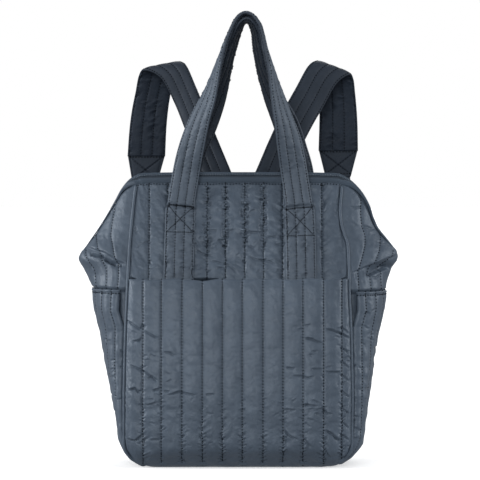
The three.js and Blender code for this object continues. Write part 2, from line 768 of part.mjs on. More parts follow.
const sliderBox = new THREE.BoxGeometry(SLIDER.width, SLIDER.depth, SLIDER.height);
const slider = mesh('zip_slider', sliderBox, COLOURS.zip);
slider.position.set(SLIDER.x, SLIDER.y, SLIDER.z);
slider.rotation.y = THREE.MathUtils.degToRad(-SLIDER.slope);
backpack.add(slider);

export default backpack;
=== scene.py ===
# %% [markdown]
# # A small quilted backpack
# The bag stands on its base with the zip closed. Its walls are two layers of nylon with thin wadding
# between them, sewn through in upright channels, so every panel is a row of soft ribs with tight,
# puckered stitch lines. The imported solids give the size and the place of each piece. Here each soft
# solid is replaced by a finer piece with the channels, gathers, folds and stitches of the real cloth.
# Sizes are in millimetres, heights are measured from the floor, and the front looks towards -y.

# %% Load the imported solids
from collections import namedtuple

import bpy
import numpy as np
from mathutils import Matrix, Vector


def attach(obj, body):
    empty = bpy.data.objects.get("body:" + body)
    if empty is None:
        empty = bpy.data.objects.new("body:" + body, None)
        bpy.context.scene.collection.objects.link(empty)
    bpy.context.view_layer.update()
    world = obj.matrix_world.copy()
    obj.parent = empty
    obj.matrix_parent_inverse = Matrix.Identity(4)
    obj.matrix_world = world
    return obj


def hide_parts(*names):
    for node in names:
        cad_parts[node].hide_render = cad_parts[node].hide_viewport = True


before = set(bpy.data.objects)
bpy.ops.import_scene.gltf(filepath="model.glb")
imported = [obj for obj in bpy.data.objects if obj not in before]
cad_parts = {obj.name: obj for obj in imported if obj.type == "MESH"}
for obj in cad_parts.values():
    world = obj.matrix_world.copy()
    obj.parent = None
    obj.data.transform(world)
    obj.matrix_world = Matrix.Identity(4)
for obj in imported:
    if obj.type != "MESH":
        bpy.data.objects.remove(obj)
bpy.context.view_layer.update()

MM = 0.001

# %% [markdown]
# ## Colours and nodes
# Colours are written as the hex values that a screen shows, and one function turns them into the
# linear light that shaders work in. One helper adds any node: its sockets are given as a number, a
# colour or another node's output, which is then linked.

# %% Colour and node helpers
def linear(hex_colour):
    """A screen colour such as #4e5a67 as linear red, green, blue and alpha"""
    parts = [int(hex_colour[k:k + 2], 16) / 255 for k in (1, 3, 5)]
    return [c / 12.92 if c <= 0.04045 else ((c + 0.055) / 1.055) ** 2.4 for c in parts] + [1.0]


def add_node(tree, kind, sockets=None, **settings):
    """A node with its settings, and its sockets set to a value or linked to an output"""
    made = tree.nodes.new(kind)
    for name, value in settings.items():
        setattr(made, name, value)
    for name, value in (sockets or {}).items():
        if isinstance(value, bpy.types.NodeSocket):
            tree.links.new(value, made.inputs[name])
        else:
            made.inputs[name].default_value = value
    return made


# %% [markdown]
# ## Nylon taffeta
# The shell is a thin, tightly woven nylon. Its threads are far finer than a pixel, so what the eye
# gets is a soft, slightly cool sheen that breaks up along every crinkle, and a tone that is a little
# uneven where the wadding shows through. A picture of cloth would repeat and blur, so noise and wave
# textures make it. The weave is drawn at about three times its real thread spacing so that it still
# shows as a fine grain. It follows the cloth's own UV map, which is in metres; the mottling and the
# crinkle follow Object coordinates.

# %% A function for the woven cloths
THREAD_MM = 0.9
THREAD_DEPTH_MM = 0.25
CRINKLE_MM = 5.0
CRINKLE_DEPTH_MM = 1.6
MOTTLE_MM = 38.0
GLOSS_SPREAD = 0.07
WAVE_PERIOD = 2 * np.pi / 20  # of a wave texture at scale 1


def woven(name, dark, light, roughness, sheen, crinkle=0.25, weave=0.12, thread=THREAD_MM, ior=1.53):
    """A woven cloth with two close tones, a thread grain and a fine crinkle"""
    material = bpy.data.materials.new(name)
    material.use_nodes = True
    tree = material.node_tree
    tree.nodes.clear()
    place = add_node(tree, "ShaderNodeTexCoord")
    mottle = add_node(tree, "ShaderNodeTexNoise", {
        "Vector": place.outputs["Object"], "Scale": 1 / (MOTTLE_MM * MM), "Detail": 3.0, "Roughness": 0.6})
    fine = add_node(tree, "ShaderNodeTexNoise", {
        "Vector": place.outputs["Object"], "Scale": 1 / (CRINKLE_MM * MM), "Detail": 4.0,
        "Roughness": 0.62, "Distortion": 0.4})
    blend = add_node(tree, "ShaderNodeMath", {
        0: mottle.outputs["Fac"], 1: fine.outputs["Fac"]}, operation="ADD")
    tone = add_node(tree, "ShaderNodeMapRange", {
        "Value": blend.outputs[0], "From Min": 0.7, "From Max": 1.3})
    colour = add_node(tree, "ShaderNodeMix", {
        "Factor": tone.outputs["Result"], 6: linear(dark), 7: linear(light)}, data_type="RGBA")
    gloss = add_node(tree, "ShaderNodeMapRange", {
        "Value": fine.outputs["Fac"], "From Min": 0.3, "From Max": 0.7,
        "To Min": roughness - GLOSS_SPREAD, "To Max": roughness + GLOSS_SPREAD})
    warp, weft = [
        add_node(tree, "ShaderNodeTexWave", {
            "Vector": place.outputs["UV"], "Scale": WAVE_PERIOD / (thread * MM), "Distortion": 0.6,
            "Detail Scale": 3.0}, bands_direction=way)
        for way in ("X", "Y")]
    threads = add_node(tree, "ShaderNodeMath", {
        0: warp.outputs["Fac"], 1: weft.outputs["Fac"]}, operation="MULTIPLY")
    grain = add_node(tree, "ShaderNodeBump", {
        "Height": threads.outputs[0], "Strength": weave, "Distance": THREAD_DEPTH_MM * MM})
    relief = add_node(tree, "ShaderNodeBump", {
        "Height": fine.outputs["Fac"], "Strength": crinkle, "Distance": CRINKLE_DEPTH_MM * MM,
        "Normal": grain.outputs["Normal"]})
    shader = add_node(tree, "ShaderNodeBsdfPrincipled", {
        "Base Color": colour.outputs[2], "Roughness": gloss.outputs["Result"], "IOR": ior,
        "Sheen Weight": sheen, "Sheen Roughness": 0.45, "Sheen Tint": linear("#a9bdd6"),
        "Specular Tint": linear("#cdd8e4"), "Normal": relief.outputs["Normal"]})
    add_node(tree, "ShaderNodeOutputMaterial", {"Surface": shader.outputs["BSDF"]})
    print("cloth:", name)
    return material


# %% [markdown]
# ## The cloths of this bag
# The body is slate blue-grey, and its inner faces are a plain, dull lining. The handles are nearly the same
# cloth with a stronger crinkle, and darker on their inner face; near the top of the loop the edges of their
# outer face get that darker cloth as painted shade. The shoulder straps are cut from the same cloth as the
# body: their much darker tone is painted shade, and their almost black lining is its own darker cloth with
# painted shade on top. The rims are bound with a ribbed tape, the zip has a matte tape, and all seams use one
# polyester thread with little gloss, nearly black: its own dark tone and painted shade of the stitch valleys.

# %% Make the materials
# Soft sheen, broken by crinkles
quilted_nylon = woven("quilted_nylon_taffeta", "#424c58", "#4d5865", 0.43, 0.1, crinkle=0.35)
handle_nylon = woven("handle_nylon_taffeta", "#414a55", "#4c5662", 0.5, 0.1, crinkle=0.6)
# Duller and darker: the inner faces, and the shoulder straps, whose darkness is painted shade
plain_lining = woven("plain_nylon_lining", "#39424d", "#434d59", 0.85, 0.0, crinkle=0.1, ior=1.3)
handle_lining = woven("handle_lining_taffeta", "#2b323c", "#343c47", 0.55, 0.05, crinkle=0.5)
# Painted shade: these tones paint the straps, cut from the body's cloth, in the shade they lie in; the lining
# is also darker of its own
strap_nylon_painted_shade = woven("strap_taffeta_painted_shade", "#222831", "#29303a", 0.62, 0.02, ior=1.4)
strap_lining_painted_shade = woven("strap_lining_taffeta_painted_shade", "#1a202a", "#222a35", 0.6, 0.02, crinkle=0.5, ior=1.36)
# Matte, with a grain that shows
trim_tape = woven("ribbed_binding_tape", "#39434f", "#434f5c", 0.75, 0.05, weave=0.3, thread=1.3)
zip_tape = woven("knitted_zip_tape", "#2a313a", "#343d48", 0.65, 0.1, weave=0.3, thread=1.2)
webbing = woven("polyamide_webbing", "#232932", "#2d343f", 0.62, 0.12, crinkle=0.1, weave=0.6, thread=1.8)
# Nearly black, with little gloss: the thread's own dark tone with painted shade of the stitch valleys
thread_with_painted_shade = woven("polyester_thread_with_painted_shade", "#0a0d12", "#11151b", 0.8, 0.0, crinkle=0.0, weave=0.0,
                      ior=1.3)

# %% [markdown]
# ## Measures of the body
# This short table repeats the sizes that the solids were built from: how far the corded seam lies from
# the middle at each height, left and right, and how deep the body is there. A cubic that never
# overshoots is drawn through its rows, so that the finer pieces have no corners where the solids have
# facets.

# %% Table of the body
BASE_HALF_DEPTH = 60
SEAM_Z = 10
CORNER_RADIUS = 30
CORNER_Z = SEAM_Z + CORNER_RADIUS
PANEL_TOP_Z = 282.6
SEAM_ROWS = [
    # z, left, right, half depth
    (40, 115.5, 111.5, 60), (70, 115.5, 111.8, 59), (100, 115, 111.5, 56), (141, 114, 110.5, 51.5),
    (177, 112.5, 109, 46.5), (193, 111.8, 108.9, 40.8), (209, 111, 108.5, 34), (221, 110.4, 107.8, 29.6),
    (232, 109.5, 104.4, 25.5), (241, 108.8, 101.8, 22.1), (256, 107.3, 100.4, 16.5),
    (270, 105.9, 101.6, 11.2), (284, 104, 102.8, 6)]


def through(rows, key, column):
    """A smooth reading of a short table: a cubic through its rows that never overshoots them"""
    table = np.array(sorted(rows), float)
    x, y = table[:, 0], table[:, column]
    step, slope = np.diff(x), np.diff(y) / np.diff(x)
    tangent = np.zeros_like(y)
    tangent[0], tangent[-1] = slope[0], slope[-1]
    before, after = slope[:-1], slope[1:]
    same_way = before * after > 0
    tangent[1:-1][same_way] = (2 * before * after / np.where(same_way, before + after, 1))[same_way]
    key = np.clip(key, x[0], x[-1])
    k = np.clip(np.searchsorted(x, key, side="right") - 1, 0, len(x) - 2)
    t = (key - x[k]) / step[k]
    rise = t * t * (3 - 2 * t)
    bend = step[k] * t * (1 - t) * (tangent[k] * (1 - t) - tangent[k + 1] * t)
    return y[k] + (y[k + 1] - y[k]) * rise + bend


def seam_half(z, sign):
    """How far the seam is from the middle, on the left (-1) or the right (1)"""
    return np.where(np.asarray(sign) < 0, through(SEAM_ROWS, z, 1), through(SEAM_ROWS, z, 2))


def half_depth(z):
    return through(SEAM_ROWS, z, 3)


print("body at its base: %.0f mm wide, %.0f mm deep" % (
    sum(seam_half(CORNER_Z, sign) for sign in (-1, 1)), 2 * half_depth(CORNER_Z)))


# %% [markdown]
# ## Cloth helpers
# A quilted wall is a grid of points: rows run up the cloth, columns run across it, and every stitch
# line is one of the columns. That makes it easy to hold the stitch lines still while the cloth
# between them swells, to know how far any point is from its nearest stitch line, and to close the
# wall with an inner grid. The helpers here give smooth random fields from a fixed seed, places along
# a line, finer grids by a spline through the points, the normals of a grid, and a closed mesh from
# two grids.

# %% Fields and lines
FIELD_SIZE = 128


def cloth_field(u, v, size_u, size_v, seed):
    """A smooth random field over the cloth, from -1 to 1, with features of the given sizes"""
    values = np.random.default_rng(seed).uniform(-1, 1, (FIELD_SIZE, FIELD_SIZE))
    x, y = np.asarray(u) / size_u, np.asarray(v) / size_v
    i, j = np.floor(x).astype(int), np.floor(y).astype(int)
    a, b = x - i, y - j
    a, b = a * a * (3 - 2 * a), b * b * (3 - 2 * b)

    def at(p, q):
        return values[p % FIELD_SIZE, q % FIELD_SIZE]

    low = at(i, j) * (1 - a) + at(i + 1, j) * a
    high = at(i, j + 1) * (1 - a) + at(i + 1, j + 1) * a
    return low * (1 - b) + high * b


def ramp(value, start, span):
    """0 up to a start, then rising evenly to 1 over a span"""
    return np.clip((value - start) / span, 0, 1)


def level_mask(value, low, high, soft):
    """1 between two limits, fading to 0 over a soft edge"""
    return np.clip((value - low) / soft + 1, 0, 1) * np.clip((high - value) / soft + 1, 0, 1)


def unit(vectors):
    """The same directions with a length of 1"""
    return vectors / np.maximum(np.linalg.norm(vectors, axis=-1, keepdims=True), 1e-9)


def run_along(points):
    """Distance along a line of points, from its first one"""
    return np.concatenate([[0], np.cumsum(np.linalg.norm(np.diff(points, axis=0), axis=1))])


def read_at(points, run, at):
    """What a line of points has at the given distances along it"""
    return np.stack([np.interp(at, run, points[:, k]) for k in range(points.shape[1])], -1)


def equal_steps(points, run, step):
    """What a line of points has at equal steps of about the given length"""
    return read_at(points, run, np.linspace(0, run[-1], int(run[-1] / step) + 1))


# %% Grids and meshes
DENSE = 40  # points between two rows of a table, for a curve that is then read at equal steps


def finer_axis(grid, times):
    """More points along the first axis of a grid, on a spline through the given ones"""
    padded = np.concatenate([2 * grid[:1] - grid[1:2], grid, 2 * grid[-1:] - grid[-2:-1]])
    p0, p1, p2, p3 = padded[:-3], padded[1:-2], padded[2:-1], padded[3:]
    parts = []
    for k in range(times):
        t = k / times
        parts.append(0.5 * (2 * p1 + (p2 - p0) * t + (2 * p0 - 5 * p1 + 4 * p2 - p3) * t * t
                            + (3 * p1 - p0 - 3 * p2 + p3) * t ** 3))
    made = np.stack(parts, axis=1).reshape(-1, *grid.shape[1:])
    return np.concatenate([made, grid[-1:]])


def finer(grid, times):
    """The same cloth with more rows and columns"""
    return np.swapaxes(finer_axis(np.swapaxes(finer_axis(grid, times), 0, 1), times), 0, 1)


def normals_of(grid, outward):
    """Unit normals of a grid of points, on the side that the given direction points to"""
    cross = unit(np.cross(np.gradient(grid, axis=1), np.gradient(grid, axis=0)))
    return np.where((cross * outward).sum() < 0, -1, 1) * cross


def pushed(grid, outward, distance):
    """A grid moved along its normals, outwards where the distance is positive"""
    return grid + normals_of(grid, outward) * np.asarray(distance)[..., None]


def cloth_lengths(grid):
    """Distance over the cloth, across and along, from its middle column and its first row"""
    across = np.cumsum(np.linalg.norm(np.diff(grid, axis=1, prepend=grid[:, :1]), axis=-1), axis=1)
    along = np.cumsum(np.linalg.norm(np.diff(grid, axis=0, prepend=grid[:1]), axis=-1), axis=0)
    return across - across[:, grid.shape[1] // 2][:, None], along


def mesh_piece(name, points, faces, uv, materials, face_material=None):
    """A mesh object at the origin from points in millimetres, faces, and a UV for each point"""
    mesh = bpy.data.meshes.new(name)
    mesh.from_pydata((np.asarray(points) * MM).tolist(), [], faces)
    layer = mesh.uv_layers.new(name="cloth")
    corner = np.zeros(len(mesh.loops), int)
    mesh.loops.foreach_get("vertex_index", corner)
    layer.data.foreach_set("uv", (np.asarray(uv) * MM)[corner].astype(np.float32).ravel())
    for material in materials:
        mesh.materials.append(material)
    if face_material is not None:
        mesh.polygons.foreach_set("material_index", np.asarray(face_material, np.int32))
    mesh.polygons.foreach_set("use_smooth", np.ones(len(mesh.polygons), bool))
    mesh.update()
    made = bpy.data.objects.new(name, mesh)
    bpy.context.scene.collection.objects.link(made)
    return made


def signed_volume(points, *face_lists):
    """Volume inside lists of quads or triangles, negative if they face inwards"""
    total = 0.0
    for faces in face_lists:
        for k in range(1, faces.shape[1] - 1):
            a, b, c = points[faces[:, 0]], points[faces[:, k]], points[faces[:, k + 1]]
            total += np.einsum("ij,ij->", a, np.cross(b, c)) / 6
    return total


def quads_of(number):
    """The quads of a grid of point numbers"""
    return np.stack([number[:-1, :-1], number[:-1, 1:], number[1:, 1:], number[1:, :-1]], -1).reshape(-1, 4)


def rim_of(number):
    """The point numbers once round the edge of a grid"""
    return np.concatenate([number[0, :-1], number[:-1, -1], number[-1, :0:-1], number[:0:-1, 0]])


def wall_piece(name, outer, inner, uv, materials, times=1, crisp=False):
    """A closed cloth wall between two grids. The inner one may have fewer rows and columns, by a whole
    number of times, and it takes the last material. A crisp wall has flat faces along its edge."""
    number = np.arange(outer.shape[0] * outer.shape[1]).reshape(outer.shape[:2])
    other = np.arange(inner.shape[0] * inner.shape[1]).reshape(inner.shape[:2]) + number.size
    outside, inside = quads_of(number), quads_of(other)[:, ::-1]
    rim, near = rim_of(number), rim_of(other)
    after, next_near = np.roll(rim, -1), np.roll(near, -1)
    fan = np.stack([after, rim, np.repeat(near, times)], -1)
    closing = np.stack([after[times - 1::times], near, next_near], -1)
    quads, triangles = np.concatenate([outside, inside]), np.concatenate([fan, closing])
    points = np.concatenate([outer.reshape(-1, 3), inner.reshape(-1, 3)])
    if signed_volume(points, quads, triangles) < 0:
        quads, triangles = quads[:, ::-1], triangles[:, ::-1]
    uvs = np.concatenate([uv.reshape(-1, 2), uv[::times, ::times].reshape(-1, 2)])
    lined = np.zeros(len(quads) + len(triangles), int)
    lined[len(outside):] = len(materials) - 1
    piece = mesh_piece(name, points, quads.tolist() + triangles.tolist(), uvs, materials, lined)
    if crisp:
        piece.data.polygons.foreach_set("use_smooth", np.arange(len(lined)) < len(quads))
    return piece


def finish_piece(piece, node):
    """A piece rides on the body and replaces its solid, which is hidden"""
    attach(piece, "root")
    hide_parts(node)
    print(piece.name, len(piece.data.polygons), "faces")
    return piece


# %% [markdown]
# ## Front, pocket and back before the wadding swells
# Each panel is laid out as the pattern cutter would: a straight lower edge with rounded corners, sides
# that follow the corded seam, and upright stitch lines at the places where the photograph shows them.
# The pocket stands further out than the panel and turns under sharply at its foot. Loop cuts made by
# hand would do for a flat panel, but here a rule keeps each stitch line on one column of the grid. A
# column is a place between two stitch lines, so the channels next to the seam get narrower where the
# seam comes in.

# %% Panel layout
PANEL_LINES = (-91, -72.5, -52.5, -33, -14.5, 4.8, 23.6, 42.5, 62, 82)
POCKET_LINES = (-96.6, -78.3, -57.7, -37.5, -17.6, 2.2, 22.8, 42.7, 62.6, 83.1, 101.4)
CHANNEL_COLUMNS = 8
CORD_RADIUS = 1.5
INTO_THE_CORD = 0.3
BEYOND_EDGE = 1000.0  # stands for the panel's own edge, left or right
PANEL_CORNER_DROP = 1.2
PANEL_SET_BACK = 0.2
PANEL_BULGE, BULGE_FOOT_Z = 4, 175
POCKET_TOP_Z, POCKET_FOOT_Z = 188, 0.9
POCKET_CORNER_RADIUS = 21
POCKET_EDGE_REACH = 2.4
POCKET_SAG, POCKET_SAG_X, POCKET_SAG_WIDTH = 1.5, -36, 9
POCKET_WAVE, POCKET_WAVE_LENGTH = 0.9, 17
POCKET_SWELL = [
    # height over the pocket's edge, how far the pocket stands out
    (0, -8), (3, -3.5), (7, 1.5), (11, 6), (14, 9.4), (17, 11.8), (20, 13), (26, 13.9), (38, 14.4), (68, 16),
    (108, 16.8), (148, 16.1), (186, 13.2)]


def side_of(x):
    return np.where(x < 0, -1, 1)


def panel_edge(z, sign):
    return sign * (seam_half(z, sign) - CORD_RADIUS + INTO_THE_CORD)


def rounded_bottom(x, low, radius):
    """Lowest point of a panel: straight, with a quarter round at each corner"""
    corner_start = np.abs(panel_edge(SEAM_Z, side_of(x))) - radius
    into = np.clip(np.abs(x) - corner_start, 0, radius)
    return low + radius - np.sqrt(radius ** 2 - into ** 2)


def panel_bottom(x):
    return rounded_bottom(x, SEAM_Z + CORD_RADIUS, CORNER_RADIUS)


def pocket_bottom(x):
    return rounded_bottom(x, POCKET_FOOT_Z, POCKET_CORNER_RADIUS)


def panel_top(x):
    return PANEL_TOP_Z - PANEL_CORNER_DROP * (x / panel_edge(PANEL_TOP_Z, side_of(x))) ** 8


def pocket_top(x):
    """A slightly wavy edge that sags at one place"""
    sag = POCKET_SAG * np.exp(-((x - POCKET_SAG_X) / POCKET_SAG_WIDTH) ** 2)
    return POCKET_TOP_Z + POCKET_WAVE * cloth_field(x, 0 * x, POCKET_WAVE_LENGTH, 1, 71) - sag


def panel_reach(x, z):
    """How far a panel stands out of the seam: flat below, bulging in the middle of what shows"""
    rise = ramp(z, BULGE_FOOT_Z, PANEL_TOP_Z - BULGE_FOOT_Z)
    bulge = PANEL_BULGE * (1 - (x / panel_edge(z, side_of(x))) ** 2) * np.sin(np.pi * rise)
    return bulge - PANEL_SET_BACK


def pocket_reach(x, z):
    """How far the pocket stands out of the seam: full in the middle, close to the seam at its sides"""
    side = np.abs(x / panel_edge(z, side_of(x)))
    swell = through(POCKET_SWELL, z - pocket_bottom(x), 1)
    edge = np.minimum(swell, POCKET_EDGE_REACH)
    return edge + (swell - edge) * (1 - side ** 5)


def panel_layout(lines, rows, bottom, top, reach, facing):
    """The flat-pressed grid of a quilted panel, its crown between stitch lines and its stitch columns"""
    marks = np.array([-BEYOND_EDGE, *lines, BEYOND_EDGE])
    shares = np.append(np.tile(np.arange(CHANNEL_COLUMNS) / CHANNEL_COLUMNS, len(marks) - 1), 0)
    start = np.append(np.repeat(marks[:-1], CHANNEL_COLUMNS), BEYOND_EDGE)
    stop = np.append(np.repeat(marks[1:], CHANNEL_COLUMNS), BEYOND_EDGE)

    def place(z):
        low, high = panel_edge(z, -1), panel_edge(z, 1)
        return np.clip(start, low, high) * (1 - shares) + np.clip(stop, low, high) * shares

    base, crest = place(np.full(len(shares), SEAM_Z)), place(np.full(len(shares), PANEL_TOP_Z))
    z = bottom(base) + (top(crest) - bottom(base)) * np.asarray(rows)[:, None]
    x = np.array([place(level) for level in z])
    y = facing * (half_depth(z) + reach(x, z))
    crown = np.sin(np.pi * shares) * np.ones_like(z)
    stitched = np.arange(len(shares)) % CHANNEL_COLUMNS == 0
    return np.stack([x, y, z], -1), crown, stitched


def rows_up(low, high, step):
    """Equal shares of a height, from low to high, about a step apart"""
    return np.linspace(low, high, int((high - low) / step) + 1)


# %% Lay out the three panels
POCKET_HEIGHT, PANEL_HEIGHT = 186, 270
FOOT_SHARE, FOOT_ROW, POCKET_ROW = 0.1, 1.5, 2.3
HIDDEN_SHARE, HIDDEN_ROW_SHARE = 0.54, 0.045  # the pocket hides the lower half of the front
PANEL_ROW, BACK_ROW = 2.2, 3.2
pocket_rows = np.concatenate([
    rows_up(0, FOOT_SHARE, FOOT_ROW / POCKET_HEIGHT)[:-1],
    rows_up(FOOT_SHARE, 1, POCKET_ROW / POCKET_HEIGHT)])
panel_rows = np.concatenate([
    rows_up(0, HIDDEN_SHARE, HIDDEN_ROW_SHARE)[:-1], rows_up(HIDDEN_SHARE, 1, PANEL_ROW / PANEL_HEIGHT)])
back_rows = rows_up(0, 1, BACK_ROW / PANEL_HEIGHT)
pocket_grid, pocket_crown, pocket_stitched = panel_layout(
    POCKET_LINES, pocket_rows, pocket_bottom, pocket_top, pocket_reach, -1)
panel_grid, panel_crown, panel_stitched = panel_layout(
    PANEL_LINES, panel_rows, panel_bottom, panel_top, panel_reach, -1)
back_grid, back_crown, back_stitched = panel_layout(
    PANEL_LINES, back_rows, panel_bottom, panel_top, panel_reach, 1)
print("panel grids:", pocket_grid.shape, panel_grid.shape, back_grid.shape)

# %% [markdown]
# ## Let the wadding swell
# On the real bag the thread is pulled tight, which shortens the cloth along every stitch line, while
# the cloth between the lines keeps its length and has to pucker. Blender's Cloth does just that: the
# stitch lines and edges are pinned, the rest shape is cut a few per cent longer than the place it is
# sewn into, and a little pressure stands for the wadding. The cloths are simulated ten times larger
# than life, where the solver's default steps behave well, all in one run of twenty frames. How far a
# point may move is capped, so that no cloth reaches its neighbour.

# %% Functions for the simulation
SIM_SCALE = 10
SIM_FRAMES = 20
CROWN = 1.1
CLOTH_SETTINGS = {
    "quality": 5, "mass": 0.02, "tension_stiffness": 30, "compression_stiffness": 30, "shear_stiffness": 4,
    "bending_stiffness": 0.5, "air_damping": 1, "vertex_group_mass": "stitched", "use_pressure": True}
sewn = {}


def sew(name, grid, outward, crown, stitched, cut, cap, ruffle, pressure=4.0, fixed=False):
    """Notes a cloth for the simulation: its grid, how it is held, how it was cut and its first ruffles"""
    held = np.zeros(grid.shape[:2], bool) | fixed
    held[:, stitched] = True
    held[0], held[-1] = True, True
    held[:, 0], held[:, -1] = True, True
    across, along = cloth_lengths(grid)
    seed = len(sewn) * 10
    folds = (cloth_field(across + 0.5 * along, along, 26, 5.5, seed)
             + cloth_field(across - 0.7 * along, along, 22, 7, seed + 1))
    lift = CROWN * crown + ruffle * crown * folds
    start = pushed(grid, outward, lift * ~held)
    sewn[name] = {"flat": grid, "start": start, "held": held, "cut": cut, "cap": cap, "pressure": pressure}


def cloth_body(name, cloth):
    """A mesh with the Cloth modifier, pinned at its stitch lines, whose rest shape is the cut one"""
    number = np.arange(cloth["held"].size).reshape(cloth["held"].shape)
    quads = quads_of(number)
    facing = normals_of(cloth["start"], cloth["start"] - cloth["flat"])
    turned = np.cross(np.gradient(cloth["start"], axis=1), np.gradient(cloth["start"], axis=0))
    if (facing * turned).sum() < 0:
        quads = quads[:, ::-1]
    mesh = bpy.data.meshes.new(name)
    mesh.from_pydata((cloth["start"].reshape(-1, 3) * MM * SIM_SCALE).tolist(), [], quads.tolist())
    body = bpy.data.objects.new("sim_" + name, mesh)
    bpy.context.scene.collection.objects.link(body)
    body.shape_key_add(name="sewn")
    cut = body.shape_key_add(name="cut")
    cut.data.foreach_set("co", (cloth["cut"].reshape(-1, 3) * MM * SIM_SCALE).astype(np.float32).ravel())
    group = body.vertex_groups.new(name="stitched")
    group.add(number[cloth["held"]].tolist(), 1.0, "REPLACE")
    modifier = body.modifiers.new("cloth", "CLOTH")
    for setting, value in CLOTH_SETTINGS.items():
        setattr(modifier.settings, setting, value)
    modifier.settings.rest_shape_key = cut
    modifier.settings.uniform_pressure_force = cloth["pressure"]
    modifier.settings.effector_weights.gravity = 0
    modifier.point_cache.frame_start, modifier.point_cache.frame_end = 1, SIM_FRAMES
    return body


def simulate(cloths):
    """Runs Cloth on all the noted cloths at once and gives their grids back"""
    scene = bpy.context.scene
    bodies = {name: cloth_body(name, cloth) for name, cloth in cloths.items()}
    for step in range(1, SIM_FRAMES + 1):
        scene.frame_set(step)
    graph, grids = bpy.context.evaluated_depsgraph_get(), {}
    for name, body in bodies.items():
        found = body.evaluated_get(graph).data
        place = np.zeros(len(found.vertices) * 3, np.float32)
        found.vertices.foreach_get("co", place)
        start = cloths[name]["start"]
        move = place.reshape(start.shape).astype(float) / MM / SIM_SCALE - start
        length = np.linalg.norm(move, axis=-1, keepdims=True)
        grids[name] = start + move * np.minimum(1, cloths[name]["cap"] / np.maximum(length, 1e-9))
        print("swelled", name, "by %.2f mm, at most %.2f" % (length.mean(), length.max()))
    scene.frame_set(1)
    for body in bodies.values():
        bpy.data.objects.remove(body)
    return grids


def cut_longer(grid, along, across):
    """The shape a cloth was cut to: every step along and across it is longer by these shares"""
    steps = np.diff(grid, axis=0) * (1 + along)
    longer = np.concatenate([grid[:1], grid[:1] + np.cumsum(steps, axis=0)])
    steps = np.diff(longer, axis=1) * (1 + across)
    return np.concatenate([longer[:, :1], longer[:, :1] + np.cumsum(steps, axis=1)], axis=1)


# %% Sew the panels
# The front is gathered in the middle above the pocket, and the pocket slumps in its lower corners
front = np.array([0, -1.0, 0])
gathered = level_mask(panel_grid[..., 2], 205, 256, 25) * level_mask(panel_grid[..., 0], -45, 70, 40)
sew("front_panel", panel_grid, front, panel_crown, panel_stitched,
    cut_longer(panel_grid, (0.02 + 0.03 * gathered)[1:, :, None], 0.03), 3.0, 0.18 + 0.3 * gathered)
slumped = level_mask(pocket_grid[..., 2], 10, 120, 60) * ramp(np.abs(pocket_grid[..., 0]), 30, 60)
sew("front_pocket", pocket_grid, front, pocket_crown, pocket_stitched,
    cut_longer(pocket_grid, (0.02 + 0.05 * slumped)[1:, :, None], 0.03), 3.0, 0.12 + 0.45 * slumped)
sew("back_panel", back_grid, -front, back_crown, back_stitched, cut_longer(back_grid, 0.04, 0.03), 2.5, 0.3)

# %% [markdown]
# ## The side strip and its pockets before they swell
# One strip of the same quilting runs down the left slope, round the ear, down the side, under the
# base and up again on the right. It is lofted through sections that span the depth of the bag: sharp
# like a roof ridge under the zip, round at the sides, and flat under the base. The sections are read
# at equal steps over the cloth, so the stitch lines keep their spacing. The slip pockets repeat the
# lower sections further out, and end in an open hem.

# %% Tables of the side strip
SIDE_ROWS = [
    # z, left, right, room inside the side pocket, squareness, tuck below the ear
    (209, 164.6, 161.6, 0, 1.55, 0), (203, 161.9, 157.2, 0, 1.6, 0.06), (198, 158.4, 153.2, 0, 1.62, 0.1),
    (191, 154.8, 150.8, 0, 1.65, 0.08), (184, 151.2, 147.9, 0, 1.75, 0.02), (180, 149.3, 146.8, 0, 1.85, 0),
    (177, 148.7, 146.8, 1.2, 1.9, 0), (168, 148.2, 147, 8, 2.0, 0), (160, 147, 146, 12.5, 2.1, 0),
    (130, 140.5, 139, 15, 2.3, 0), (100, 135, 134.3, 14, 2.5, 0), (70, 129, 130, 11.5, 2.8, 0),
    (40, 122.6, 125.3, 4, 3.2, 0)]
MOUTH_LINE = [
    # x, z
    (-162, 210.8), (-153.2, 221.6), (-139.8, 241), (-127.8, 261), (-117.6, 279), (-105.8, 289.6),
    (-88, 292.6), (0, 293.2), (86, 292.6), (105, 289.4), (120, 277), (130, 261), (136.8, 241.4),
    (148.2, 226.2), (159.8, 212.8)]
RIM_ROWS = [
    # z, how far the rims show below the outline
    (200, 0.5), (240, 0.7), (262, 1.0), (272, 1.9), (278, 2.9), (284, 5.4), (288, 8.2), (291, 10.2),
    (294, 10.2)]
MOUTH_STEPS = 1000
RIM_CLEARANCE = 0.3
EAR_TOP_Z, EAR_TOP_SPAN = 216, 10
EAR_Z, EAR_SPAN = 210, 22
EDGE_SETBACK = 2.0
STRIP_SETBACK_IN_POCKET = 4.6
SIDE_POCKET_WALL = 2.4
SIDE_POCKET_TOP_Z = 177
SIDE_POCKET_GAPE, GAPE_FOOT_Z, GAPE_SPAN = 6, 140, 16
RIGHT_POCKET_LOWER = 2
STRIP_COLUMNS = 6
SIDE_SHARES = (0, 0.16, 0.39, 0.67, 1)
SLOPE_LINES = (0, 22, 42, 62, 82)
SLOPE_FOOT_Z, SLOPE_SPAN = 198, 32
SLOPE_SHARE = 0.225  # of the mouth's length, from an ear to the top
SIDE_ROW_HEIGHTS = np.concatenate([np.linspace(207, 165, 18), np.linspace(159, CORNER_Z, 21)])
FLAT_SQUARENESS, FLAT_FILL = 5.0, 1.04
CORNER_SQUARENESS, CORNER_SQUARENESS_GAIN = 3.2, 1.8
CORNER_ROUNDNESS = 2.3
CORNER_ROOM = 2.2
Station = namedtuple("Station", "seam outline depth squareness tuck room")


def spline(points, steps):
    """Points at equal steps along a smooth curve through the given ones"""
    dense = finer_axis(np.asarray(points, float), DENSE)
    run = run_along(dense)
    return read_at(dense, run, np.linspace(0, run[-1], steps + 1))


